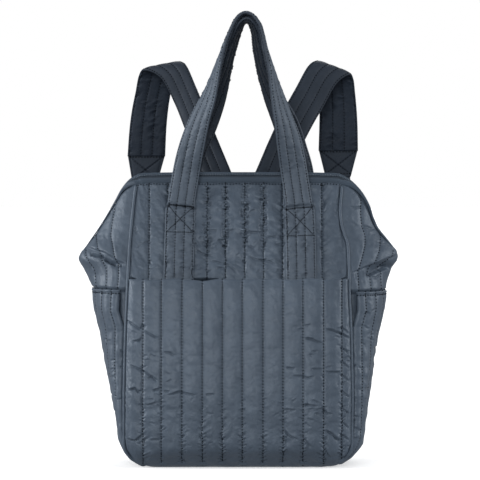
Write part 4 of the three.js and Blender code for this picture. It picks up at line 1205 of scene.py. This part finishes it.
def strap_faces(route, half_width, half_thickness, rib, lines, pulls, seed, valley=0.8, per_channel=8):
    """The outer and inner grids of a quilted strap, and the columns of its stitch lines"""
    centre, across, outer = route
    places, columns = strap_columns(lines, per_channel)
    channel = np.zeros_like(places)
    for a, b in zip(columns, columns[1:]):
        channel[a:b + 1] = np.sin(np.pi * np.linspace(0, 1, b - a + 1)) ** 0.7
    round_edge = 0.2 + 0.8 * np.sqrt(1 - np.abs(places) ** 4)
    half_width, half_thickness, rib = [
        np.broadcast_to(v, len(centre))[:, None] for v in (half_width, half_thickness, rib)]
    height = half_thickness * round_edge + rib * channel
    flat = centre[:, None] + across[:, None] * (half_width * places)[..., None]
    facing = np.broadcast_to(outer[:, None], flat.shape)
    calm = ramp(1 - np.abs(places), 0, CALM_EDGE)[:, None]
    faces = []
    for way, pull, reach, start in ((1, pulls[0], 3.0, seed), (-1, pulls[1], 4.0, seed + 2)):
        smooth = flat + way * facing * height[..., None]
        puckered = tighten(smooth, way * facing, columns, pull, start, valley, reach, STRAP_STEADY,
                           slope=0.2, waves=0.35)
        faces.append(smooth + (puckered - smooth) * calm)
    return *faces, columns


def strap_wall(name, node, upper, lower, materials):
    """A closed strap from its two faces, which rides on the body and replaces its solid"""
    lengths = np.stack(cloth_lengths(upper), -1)
    piece = finish_piece(wall_piece(name, upper, lower, lengths, materials), node)
    return piece


def note_lines(node, upper, lower, columns, outer):
    """Keeps the stitch lines of both faces of a strap for sewing"""
    strap_lines[node] = [
        [face[:, c] + lift * outer for c in columns]
        for face, lift in ((upper, STRAP_STITCH_LIFT), (lower, -STRAP_STITCH_LIFT))]


def crossed_box(grid, sides, ends, outer):
    """Stitch lines of a box on a strap: one at its foot, two at its top and its two diagonals"""
    share = np.linspace(0, 1, BOX_POINTS)

    def line(rows, columns):
        row, column = [a + (b - a) * share for a, b in (rows, columns)]
        low = np.minimum(np.floor(row).astype(int), len(grid) - 2)
        side = np.minimum(np.floor(column).astype(int), grid.shape[1] - 2)
        a, b = (row - low)[:, None], (column - side)[:, None]
        near = grid[low, side] * (1 - b) + grid[low, side + 1] * b
        far = grid[low + 1, side] * (1 - b) + grid[low + 1, side + 1] * b
        return near * (1 - a) + far * a + outer[low] * BOX_STITCH_LIFT

    foot, top = ends[[0, 0]], ends[[1, 1]]
    below_top = top - BOX_DOUBLED * np.sign(ends[1] - ends[0])
    straight = [line(rows, sides) for rows in (foot, top, below_top)]
    return straight + [line(ends, sides), line(ends, sides[::-1])]


# %% [markdown]
# ## Carrying handles
# Each handle is one long strap of the same quilting, with two inner stitch lines and one along each
# edge. Its ends lie flat on a panel, and those of the front handle disappear under the pocket. Above
# the rim it leans inwards and turns on edge, so that the top of the loop is seen from its side. The
# route is a short table of points with the twist at each of them.

# %% Handle routes
HANDLE_STEP = 1.2
HANDLE_WIDTH, HANDLE_THICKNESS = 27, 5.2
HANDLE_STITCHES = (-0.89, -0.3, 0.3, 0.89)
HANDLE_ON_PANEL = 3.5
SEWN_WIDER, SEWN_HALF_THICKNESS = 1.5, 1.6  # of the ends that are sewn down
LEAVES_PANEL_Z, LEAVES_PANEL_SPAN = 258.5, 4
LAST_GROOVE_Z, LAST_GROOVE_WIDTH, LAST_GROOVE_DEPTH = 258.6, 1.3, 1.9
LOOP_TOP_Z, LOOP_TOP_SPAN = 400, 30
# Painted shade: from this height up, the edges of the handle's outer face take the dark lining material
PAINTED_SHADE_EDGE_Z = 402  # from here up the edges of the outer face are dark
BOX_LEVELS = {"handle_front": ((232.5, 259.5), (229.5, 257.5)), "handle_back": ((232, 256), (232, 256))}
HANDLE_FRONT_ROWS = [
    # x, y (none where it lies on the panel), z, twist in degrees
    (-61.5, None, 168, 0), (-61, None, 200, 0), (-60.3, None, 232, 0), (-59.3, None, 259, 0),
    (-54.6, -13, 290, 4), (-49, -14, 317, 20), (-40.5, -14, 346, 42), (-31, -12, 370, 60),
    (-22.5, -9, 397, 80), (-15.5, -6, 419, 90), (-7.5, -3, 437.5, 95), (-0.8, -1, 448.2, 97),
    (6.3, 0, 451.6, 98), (13.6, -1, 447.8, 97), (20, -3, 437.5, 95), (25, -6, 419, 90),
    (31.5, -9, 394, 80), (39.6, -12.5, 362, 56), (44.9, -14, 342, 42), (49.8, -14, 320, 20),
    (54.8, -13, 290, 4), (59.6, None, 257, 0), (60.6, None, 230, 0), (61.1, None, 200, 0),
    (61.1, None, 168, 0)]
HANDLE_BACK_ROWS = [
    (-59, None, 228, 0), (-58, None, 256, 0), (-54, 15, 290, 2), (-46.5, 16, 317, 6), (-35, 17.5, 342, 22),
    (-23.8, 17.5, 368, 46), (-14.6, 14, 397, 66), (-9, 9, 417, 70), (-2.6, 5, 434.5, 76),
    (1.4, 2, 442.6, 80), (6.8, 1, 446.2, 82), (12, 2, 442.6, 80), (15.6, 5, 434.5, 76), (18.4, 9, 417, 70),
    (23.4, 14, 395, 66), (34, 17.5, 368, 46), (46, 17.5, 342, 22), (54, 16, 317, 6), (61, 15, 290, 2),
    (62, None, 256, 0), (62.5, None, 228, 0)]


def handle_route(rows, facing):
    """Centre, across and outer directions of a handle at equal steps"""
    table = []
    for x, y, z, twist in rows:
        if y is None:
            reach = panel_reach(x + np.linspace(-0.5, 0.5, 9) * HANDLE_WIDTH, np.full(9, z)).max()
            y = facing * (float(half_depth(z)) + reach + HANDLE_ON_PANEL)
        table.append((x, y, z, twist))
    dense = finer_axis(np.array(table, float), DENSE)
    route = equal_steps(dense, run_along(dense[:, :3]), HANDLE_STEP)
    centre, twist = route[:, :3], np.radians(route[:, 3:])
    tangent = unit(np.gradient(centre, axis=0))
    outward = unit(np.stack([-tangent[:, 2], 0 * tangent[:, 0], tangent[:, 0]], -1))
    outer = np.cos(twist) * np.array([0, facing, 0.0]) + np.sin(twist) * outward
    outer = unit(outer - tangent * (outer * tangent).sum(-1, keepdims=True))
    return centre, np.cross(outer, tangent), outer


def paint_shade(piece, dark):
    """Paints shade: gives the second material to the marked faces of a wall's outer grid, which come first in
    its mesh
    """
    cloth = np.zeros(len(piece.data.polygons), np.int32)
    piece.data.polygons.foreach_get("material_index", cloth)
    cloth[:dark.size][dark.ravel()] = 1
    piece.data.polygons.foreach_set("material_index", cloth)


def handle_piece(node, rows, facing, seed):
    """A carrying handle with its stitch lines and the boxes at its two ends"""
    route = handle_route(rows, facing)
    z, outer = route[0][:, 2], route[2]
    loose, top = ramp(z, LEAVES_PANEL_Z, LEAVES_PANEL_SPAN), ramp(z, LOOP_TOP_Z, LOOP_TOP_SPAN)
    half_width = HANDLE_WIDTH / 2 + SEWN_WIDER * (1 - loose)
    thicker = (HANDLE_THICKNESS / 2 - SEWN_HALF_THICKNESS) * loose * (1 - 0.3 * top)
    rib = 0.3 + 0.3 * loose * (1 - top)
    pulls = 0.7 + 1.3 * (1 - loose[:, None]), 0.8
    upper, lower, columns = strap_faces(
        route, half_width, SEWN_HALF_THICKNESS + thicker, rib, HANDLE_STITCHES, pulls, seed, valley=0.5)
    groove = LAST_GROOVE_DEPTH * np.exp(-((z - LAST_GROOVE_Z) / LAST_GROOVE_WIDTH) ** 2)
    upper = upper - outer[:, None] * groove[:, None, None]
    piece = strap_wall(
        node + "_strap", node, upper, lower, [handle_nylon, handle_lining])
    # Painted shade: near the top of the loop the outer face's edges get the dark lining material
    dark, high = np.zeros((len(upper) - 1, upper.shape[1] - 1), bool), z[:-1] > PAINTED_SHADE_EDGE_Z
    dark[high, :columns[0]] = dark[high, columns[-1]:] = True
    paint_shade(piece, dark)
    note_lines(node, upper, lower, columns, outer)
    summit = int(np.argmax(z))
    for leg, levels in zip((np.arange(summit), np.arange(len(z) - 1, summit, -1)), BOX_LEVELS[node]):
        ends = leg[np.searchsorted(z[leg], levels)]
        box_lines.extend(crossed_box(upper, columns[[0, -1]], ends, outer))


handle_piece("handle_front", HANDLE_FRONT_ROWS, -1, 41)
handle_piece("handle_back", HANDLE_BACK_ROWS, 1, 45)

# %% [markdown]
# ## Shoulder straps
# The padded straps start behind the upper edge of the back panel, stand up and fold over backwards, so
# that the front view shows their outer face on the way up and the dark lining on the way down. Both faces
# carry painted shade in their colour. A simulation would let them fall anywhere, so each is lofted between
# an inner and an outer edge from a table. They end in a tapered tip sewn with a cross, and flat webbing goes
# from there to the foot of the back.

# %% Straps, tips and webbing
STRAP_STEP = 1.3
STRAP_THICKNESS = 6
STRAP_STITCHES = (-0.92, -0.3, 0.3, 0.92)
STRAP_BOX_ROWS = np.array([3, 16])
TIP_LENGTH, TIP_INSIDE, TIP_END_WIDTH, TIP_THICKNESS = 26.4, 2.0, 26, 3.4
TIP_ROWS, TIP_COLUMNS = 60, 48
TIP_STITCHES = (-0.88, 0.88)
TIP_BOX_START, TIP_BOX_STOP = 6, -8
TIP_STITCH_LIFT = 0.7
TIP_CROSS_DEPTH, TIP_CROSS_WIDTH, TIP_CROSS_LIP = 1.0, 0.9, 0.1
WEBBING_WIDTH, WEBBING_THICKNESS, WEBBING_EASE = 25, 2, 60
WEBBING_END = (94, 62.4, 36)
WEBBING_STEPS = 90
WEBBING_BOX_STEPS = (-7, -2)
CROSS_POINTS = 12
STRAP_ROWS = {
    # inner edge x, y, z, outer edge x, y, z
    "left": [
        (-4, 14.5, 281, -29, 18, 270), (-9.5, 22, 294.5, -36, 24.5, 283.5), (-22.4, 37, 325, -47.5, 41, 313),
        (-34.5, 48, 354, -57.5, 54, 340), (-45, 58, 379, -67, 65, 363), (-53.2, 67, 398, -80, 72, 387),
        (-58.2, 77, 403.2, -97, 81, 395.8), (-63, 87, 400.5, -103.4, 91, 390),
        (-68.5, 92, 383, -107, 95, 373), (-72.6, 94, 362, -110.6, 96, 355), (-75.2, 94, 338, -113.2, 95, 335),
        (-76.6, 93, 307.5, -115.2, 94, 307.5)],
    "right": [
        (9, 14.5, 281, 37, 19.5, 266), (16, 22, 294, 45, 25.5, 279), (30, 37, 326, 59, 40, 311),
        (43.5, 48, 354, 72.5, 52, 337.5), (57, 58, 378, 85, 63, 359), (68.4, 67, 398.5, 98, 71, 381.5),
        (76, 77, 404.5, 111.4, 80, 391), (79, 87, 401, 116, 90, 386), (80.6, 92, 384, 117.8, 94, 373),
        (81.4, 94, 362, 119.4, 95, 356), (81.2, 94, 340, 120.4, 94, 338), (80.4, 93, 313, 120.8, 93, 313)]}
StrapEnd = namedtuple("StrapEnd", "centre across outer tangent half_width")


def shoulder_strap(side, sign, seed):
    """A shoulder strap, and what its tip needs to know of its end"""
    dense = finer_axis(np.array(STRAP_ROWS[side], float), DENSE)
    edges = equal_steps(dense, run_along((dense[:, :3] + dense[:, 3:]) / 2), STRAP_STEP)
    centre, span = (edges[:, :3] + edges[:, 3:]) / 2, edges[:, :3] - edges[:, 3:]
    half_width, across = np.linalg.norm(span, axis=1) / 2, unit(span)
    tangent = unit(np.gradient(centre, axis=0))
    outer = unit(np.cross(across, tangent)) * -sign
    upper, lower, columns = strap_faces(
        (centre, across, outer), half_width, STRAP_THICKNESS / 2 - 0.6, 0.3, STRAP_STITCHES, (0.2, 1.6), seed,
        valley=0.6)
    node = "shoulder_strap_" + side
    # Both faces of the strap carry painted shade in their colour
    strap_wall(node + "_cloth", node, upper, lower, [strap_nylon_painted_shade, strap_lining_painted_shade])
    note_lines(node, upper, lower, columns, outer)
    box_lines.extend(crossed_box(lower, columns[[0, -1]], STRAP_BOX_ROWS, -outer))
    return StrapEnd(centre[-1], across[-1], outer[-1], tangent[-1], half_width[-1])


def strap_tip(side, end, seed):
    """The tapered end of a strap, sewn with a cross on both faces"""
    share, same = np.linspace(0, 1, TIP_ROWS), np.ones((TIP_ROWS, 1))
    centre = end.centre + end.tangent * ((TIP_LENGTH + TIP_INSIDE) * share[:, None] - TIP_INSIDE)
    half_width = end.half_width + (TIP_END_WIDTH / 2 - end.half_width) * share
    upper, lower, columns = strap_faces(
        (centre, end.across * same, end.outer * same), half_width, TIP_THICKNESS / 2 - 0.3, 0.3, TIP_STITCHES,
        (0.12, 0.12), seed, per_channel=TIP_COLUMNS)
    diagonals = columns, columns[::-1]
    cross = [(TIP_CROSS_DEPTH, *upper[TIP_BOX_START, a][[0, 2]], *upper[TIP_BOX_STOP, b][[0, 2]])
             for a, b in diagonals]
    upper, lower = [
        creased(face, np.broadcast_to(way * end.outer, face.shape), cross, TIP_CROSS_WIDTH, TIP_CROSS_LIP)
        for face, way in ((upper, 1), (lower, -1))]
    node = "strap_tip_" + side
    # The tip takes the straps' cloth with its painted shade
    strap_wall(node + "_cloth", node, upper, lower, [strap_nylon_painted_shade])
    strap_lines[node] = []
    for face, lift in ((upper, TIP_STITCH_LIFT), (lower, -TIP_STITCH_LIFT)):
        start, stop = face[TIP_BOX_START], face[TIP_BOX_STOP]
        crossing = [np.linspace(start[a], stop[b], CROSS_POINTS) for a, b in diagonals]
        straight = [row[columns[0]:columns[1] + 1] for row in (start, stop)]
        strap_lines[node].append([line + end.outer * lift for line in crossing + straight])


def strap_webbing(side, sign, end):
    """Flat webbing from a strap's tip down to the foot of the back, where it is sewn with a box"""
    start = end.centre + end.tangent * (TIP_LENGTH - 1)
    foot = np.array([sign * WEBBING_END[0], *WEBBING_END[1:]])
    hang, lie = start + end.tangent * WEBBING_EASE, foot + np.array([0, 0, WEBBING_EASE])
    t = np.linspace(0, 1, WEBBING_STEPS)[:, None]
    path = (1 - t) ** 3 * start + 3 * t * (1 - t) ** 2 * hang + 3 * t * t * (1 - t) * lie + t ** 3 * foot
    along = unit(np.gradient(path, axis=0))
    wide = unit(end.across - along * (along @ end.across)[:, None])
    node = "strap_webbing_" + side
    band = swept_piece(node + "_band", path, wide, np.cross(wide, along), WEBBING_WIDTH / 2,
                       WEBBING_THICKNESS / 2, 8.0, [webbing], sides=24, power=6)
    finish_piece(band, node)
    over = np.array([0, WEBBING_THICKNESS * 0.6, 0])
    (a, b), (c, d) = [[path[k] + wide[k] * s * WEBBING_WIDTH * 0.4 + over for s in (-1, 1)]
                      for k in WEBBING_BOX_STEPS]
    box_lines.extend(np.linspace(p, q, CROSS_POINTS) for p, q in ((a, b), (c, d), (a, d), (b, c)))


for side, sign, seed in (("left", -1, 51), ("right", 1, 55)):
    end = shoulder_strap(side, sign, seed)
    strap_tip(side, end, seed + 1)
    strap_webbing(side, sign, end)

# %% [markdown]
# ## Stitches
# All seams are sewn with the same dark thread, about eight stitches to the inch. A stitch is a short
# plump dash that dips into the cloth at both ends. There are thousands of them, so Geometry Nodes lay
# one at equal steps along every stitch line, turned to the line and a little uneven, with a fixed seed.
# The thread is drawn two to three times as thick as it is, so that it still shows at this size, and nearly
# black, so that it also carries painted shade of the stitch valleys.

# %% A node tree that sews along lines
SHORTEST, LONGEST = 0.85, 1.1  # of the given stitch length
DASH_FACES = 20

sewing = bpy.data.node_groups.new("sew_along_lines", "GeometryNodeTree")
for way in ("INPUT", "OUTPUT"):
    sewing.interface.new_socket("Geometry", in_out=way, socket_type="NodeSocketGeometry")
sewing_inputs = {
    name: sewing.interface.new_socket(name, in_out="INPUT", socket_type="NodeSocket" + kind).identifier
    for name, kind in (("Stitch Pitch", "Float"), ("Stitch Length", "Float"), ("Thread Width", "Float"),
                       ("Seed", "Int"), ("Thread", "Material"))}
given = add_node(sewing, "NodeGroupInput").outputs
lines = add_node(sewing, "GeometryNodeMeshToCurve", {"Mesh": given["Geometry"]})
steps = add_node(sewing, "GeometryNodeResampleCurve", {
    "Curve": lines.outputs[0], "Length": given["Stitch Pitch"]}, mode="LENGTH")
tangent = add_node(sewing, "GeometryNodeInputTangent")
turned = add_node(sewing, "FunctionNodeAlignRotationToVector", {"Vector": tangent.outputs[0]}, axis="X")
uneven = add_node(sewing, "FunctionNodeRandomValue", {
    2: SHORTEST, 3: LONGEST, "Seed": given["Seed"]}, data_type="FLOAT")
long = add_node(sewing, "ShaderNodeMath", {
    0: given["Stitch Length"], 1: uneven.outputs[1]}, operation="MULTIPLY")
size = add_node(sewing, "ShaderNodeCombineXYZ", {
    "X": long.outputs[0], "Y": given["Thread Width"], "Z": given["Thread Width"]})
dash = add_node(sewing, "GeometryNodeMeshIcoSphere", {"Radius": 0.5, "Subdivisions": 1})
laid = add_node(sewing, "GeometryNodeInstanceOnPoints", {
    "Points": steps.outputs[0], "Instance": dash.outputs["Mesh"], "Rotation": turned.outputs[0],
    "Scale": size.outputs[0]})
real = add_node(sewing, "GeometryNodeRealizeInstances", {"Geometry": laid.outputs[0]})
painted = add_node(sewing, "GeometryNodeSetMaterial", {
    "Geometry": real.outputs[0], "Material": given["Thread"]})
add_node(sewing, "NodeGroupOutput", {"Geometry": painted.outputs[0]})
print("node tree:", sewing.name, "with inputs", list(sewing_inputs))

# %% Functions that find lines and sew them
SEAM_STITCH_LIFT = 0.3


def wall_lines(name, outward_of):
    """The grid of a quilted wall lifted a little, to where its stitches lie"""
    return pushed(fine_grids[name], outward_of(fine_grids[name]), SEAM_STITCH_LIFT)


def grid_lines(name, outward_of, keep, step=CHANNEL_COLUMNS * FINE):
    """The stitch lines of a quilted wall as lists of points, where keep is true"""
    grid, lifted = fine_grids[name], wall_lines(name, outward_of)
    found = []
    for column in range(step, grid.shape[1] - 1, step):
        shown = keep(grid[:, column])
        for run in np.split(np.arange(len(grid)), np.flatnonzero(np.diff(shown.astype(int))) + 1):
            if shown[run[0]] and len(run) > 3:
                found.append(lifted[run, column])
    return found


def row_line(name, outward_of, row):
    """A line of stitches across a wall, along one of its rows"""
    return wall_lines(name, outward_of)[row, 2:-2]


def above(level):
    """A test for the points of a stitch line that are over a height"""
    return lambda points: points[:, 2] > level


def sew_piece(name, paths, seed, pitch=3.0, length=1.8, width=1.2, material=thread_with_painted_shade):
    """One mesh of stitches along many lines"""
    mesh = bpy.data.meshes.new(name + "_lines")
    edges, start = [], 0
    for path in paths:
        edges += [(start + k, start + k + 1) for k in range(len(path) - 1)]
        start += len(path)
    mesh.from_pydata((np.concatenate(paths) * MM).tolist(), edges, [])
    seam = bpy.data.objects.new(name + "_lines", mesh)
    bpy.context.scene.collection.objects.link(seam)
    modifier = seam.modifiers.new("sew", "NODES")
    modifier.node_group = sewing
    values = {"Stitch Pitch": pitch * MM, "Stitch Length": length * MM, "Thread Width": width * MM,
              "Seed": seed, "Thread": material}
    for key, value in values.items():
        modifier[sewing_inputs[key]] = value
    made = bpy.data.meshes.new_from_object(seam.evaluated_get(bpy.context.evaluated_depsgraph_get()))
    bpy.data.objects.remove(seam)
    made.name = name
    made.polygons.foreach_set("use_smooth", np.ones(len(made.polygons), bool))
    piece = bpy.data.objects.new(name, made)
    bpy.context.scene.collection.objects.link(piece)
    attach(piece, "root")
    print(name, len(made.polygons) // DASH_FACES, "laid")
    return piece


# %% Sew every line
TOP_STITCH_BELOW = 1.7
PANEL_SHOWS_Z = 186  # below it the pocket hides the panel
POCKET_STITCH_Z = 2
STRIP_SHOWS_Z = 170  # below it the side pockets hide the strip
RIDGE_HALF_WIDTH, RIM_GAP, EAR_LINES_Z = 3.5, 5, 206
BASE_LINES_LOW_Z, BASE_LINES_HIGH_Z = 3, 20
HEM_COLUMN = 30


def off_the_ridge(points):
    """Where a stitch line of the side strip shows: not inside the pockets, nor where it has ended at the
    rim, nor on the floor"""
    z = points[:, 2]
    gap = np.interp(points[:, 0], mouth[:, 0], mouth[:, 2]) - z
    upper = (z > STRIP_SHOWS_Z) & (np.abs(points[:, 1]) > RIDGE_HALF_WIDTH)
    near_base = (z < BASE_LINES_HIGH_Z) & (z > BASE_LINES_LOW_Z)
    return (upper & ((gap > RIM_GAP) | (z < EAR_LINES_Z))) | near_base


def hem_line(name):
    """The line of stitches below the hem of a side pocket"""
    grid = fine_grids[name]
    below = np.linalg.norm(grid[:, HEM_COLUMN] - grid[0, HEM_COLUMN], axis=-1)
    return row_line(name, away_from_core, int(np.searchsorted(below, HEM_HEIGHT + HEM_GROOVE_BELOW)))


def kept_lines(*nodes):
    """The stitch lines of both faces of some straps"""
    return [line for node in nodes for face in strap_lines[node] for line in face]


panel_middle = fine_grids["front_panel"][:, fine_grids["front_panel"].shape[1] // 2, 2]
top_row = int(np.searchsorted(panel_middle, PANEL_TOP_Z - TOP_STITCH_BELOW))
side_pockets = ("side_pocket_left", "side_pocket_right")
sew_piece("stitches_front", grid_lines("front_panel", forwards, above(PANEL_SHOWS_Z))
          + grid_lines("front_pocket", forwards, above(POCKET_STITCH_Z))
          + [row_line("front_panel", forwards, top_row)], seed=1)
sew_piece("stitches_back", grid_lines("back_panel", backwards, above(0), CHANNEL_COLUMNS * BACK_FINE), seed=2)
side_lines = grid_lines("gusset", away_from_core, off_the_ridge, STRIP_COLUMNS * FINE)
side_lines += [hem_line(name) for name in side_pockets]
for name in side_pockets:
    side_lines += grid_lines(name, away_from_core, above(0), STRIP_COLUMNS * FINE)
sew_piece("stitches_sides", side_lines, seed=3)
sew_piece("stitches_handles", kept_lines("handle_front", "handle_back"), seed=4)
sew_piece("stitches_boxes", box_lines, seed=6, pitch=2.0, length=2.2, width=0.85)
sew_piece("stitches_straps", kept_lines("shoulder_strap_left", "strap_tip_left", "shoulder_strap_right",
                                        "strap_tip_right"), seed=5)

# %% [markdown]
# ## Zip coil and slider
# A coil zip is two spirals of nylon wire, one on each tape, which hook into each other. Closed, they look
# like one row of narrow rungs. The tree that lays the stitches lays them too, shorter along the line and
# wider across it. The slider stays as the solid made it, in a satin paint over metal.

# %% Lay the coil
COIL_DEPTH_SHARE, COIL_DEPTH_ON_SLOPES = 0.25, 1.3
# The rungs are lighter than the tapes: the wire's own nylon tone with a painted highlight of the coil lit
# from above
coil_nylon_and_highlight = woven("nylon_coil_wire_and_painted_highlight", "#4c5763", "#5a6571", 0.35, 0.0, crinkle=0.0, weave=0.0)
on_top = ramp(mouth[rim_range, 2:], RIM_TURN_Z, RIM_TURN_SPAN)
coil_depth = mouth_height[rim_range, None] * COIL_DEPTH_SHARE * on_top + COIL_DEPTH_ON_SLOPES * (1 - on_top)
coil = sew_piece("zip_coil_rungs", [mouth[rim_range] - mouth_out[rim_range] * coil_depth], seed=8, pitch=1.7,
                 length=1.15, width=2.6, material=coil_nylon_and_highlight)

# %% Paint the slider
SPECKLE_MM, COAT_DEPTH_MM = 0.6, 0.1
slider_paint = bpy.data.materials.new("satin_paint_on_metal")
slider_paint.use_nodes = True
paint = slider_paint.node_tree
paint.nodes.clear()
speckle = add_node(paint, "ShaderNodeTexNoise", {
    "Vector": add_node(paint, "ShaderNodeTexCoord").outputs["Object"], "Scale": 1 / (SPECKLE_MM * MM),
    "Detail": 2.0})
gloss = add_node(paint, "ShaderNodeMapRange", {
    "Value": speckle.outputs["Fac"], "To Min": 0.25, "To Max": 0.45})
coat = add_node(paint, "ShaderNodeBump", {
    "Height": speckle.outputs["Fac"], "Strength": 0.1, "Distance": COAT_DEPTH_MM * MM})
satin = add_node(paint, "ShaderNodeBsdfPrincipled", {
    "Base Color": linear("#3d424b"), "Metallic": 0.3, "Roughness": gloss.outputs["Result"],
    "Normal": coat.outputs["Normal"]})
add_node(paint, "ShaderNodeOutputMaterial", {"Surface": satin.outputs["BSDF"]})
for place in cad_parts["zip_slider"].material_slots:
    place.material = slider_paint
print("slider:", slider_paint.name)

# %% [markdown]
# ## Floor, light and camera
# A pale floor and white surroundings, a broad light from each side, one from in front and a weak one
# from behind, and a long lens almost level with the bag, as in a catalogue photograph. The floor gives
# no light to the bag itself, and the camera sees a brighter white than the one that lights it.

# %% Floor
floor_mesh = bpy.data.meshes.new("floor")
floor_mesh.from_pydata([(-6, -3, 0), (6, -3, 0), (6, 9, 0), (-6, 9, 0)], [], [(0, 1, 2, 3)])
floor = bpy.data.objects.new("floor", floor_mesh)
bpy.context.scene.collection.objects.link(floor)
# Matte paint that glows a little, so that the floor stays pale up to its edge
pale = bpy.data.materials.new("matte_white_paint")
pale.use_nodes = True
for name, value in {"Base Color": linear("#f3f3f3"), "Roughness": 0.9, "Emission Color": linear("#ffffff"),
                    "Emission Strength": 0.45}.items():
    pale.node_tree.nodes["Principled BSDF"].inputs[name].default_value = value
floor_mesh.materials.append(pale)
floor.visible_diffuse = floor.visible_glossy = False
print("floor:", pale.name)


# %% Lights
def soft_sun(name, azimuth, height, angle, strength):
    """A broad, even light from a compass direction seen from the camera and a height, both in degrees"""
    light = bpy.data.lights.new(name, "SUN")
    light.angle, light.energy = np.radians(angle), strength
    made = bpy.data.objects.new(name, light)
    bpy.context.scene.collection.objects.link(made)
    a, h = np.radians(azimuth), np.radians(height)
    towards = Vector((np.sin(a) * np.cos(h), -np.cos(a) * np.cos(h), np.sin(h)))
    made.rotation_euler = towards.to_track_quat("Z", "Y").to_euler()


soft_sun("side_left", -84, 20, 25, 2.3)
soft_sun("side_right", 84, 20, 30, 1.45)
soft_sun("back", 170, 35, 40, 0.7)
soft_sun("front", -10, 16, 30, 1.3)
world = bpy.data.worlds.new("studio")
bpy.context.scene.world = world
world.use_nodes = True
studio = world.node_tree
studio.nodes.clear()
ray = add_node(studio, "ShaderNodeLightPath")
shown = add_node(studio, "ShaderNodeBackground", {"Color": (1, 1, 1, 1), "Strength": 1.0})
lit = add_node(studio, "ShaderNodeBackground", {"Color": (0.95, 0.97, 1, 1), "Strength": 0.34})
both = add_node(studio, "ShaderNodeMixShader", {
    0: ray.outputs["Is Camera Ray"], 1: lit.outputs[0], 2: shown.outputs[0]})
add_node(studio, "ShaderNodeOutputWorld", {"Surface": both.outputs[0]})
bpy.context.scene.view_settings.view_transform = "Standard"
print("lights:", [light.name for light in bpy.data.lights])

# %% Camera
ELEVATION = np.radians(2.0)
DISTANCE = 5.0
camera = bpy.data.cameras.new("camera")
camera.sensor_width, camera.lens = 36, 375
eye = bpy.data.objects.new("camera", camera)
bpy.context.scene.collection.objects.link(eye)
bpy.context.scene.camera = eye
aim = Vector((0, -0.03, 0.226))
eye.location = aim + Vector((0, -DISTANCE * np.cos(ELEVATION), DISTANCE * np.sin(ELEVATION)))
eye.rotation_euler = (np.pi / 2 - ELEVATION, 0, 0)
print("camera: %.0f mm lens, %.0f m away" % (camera.lens, DISTANCE))

# %% [markdown]
# ## Finish
# The view layer is brought up to date.

# %% Finish
bpy.context.view_layer.update()
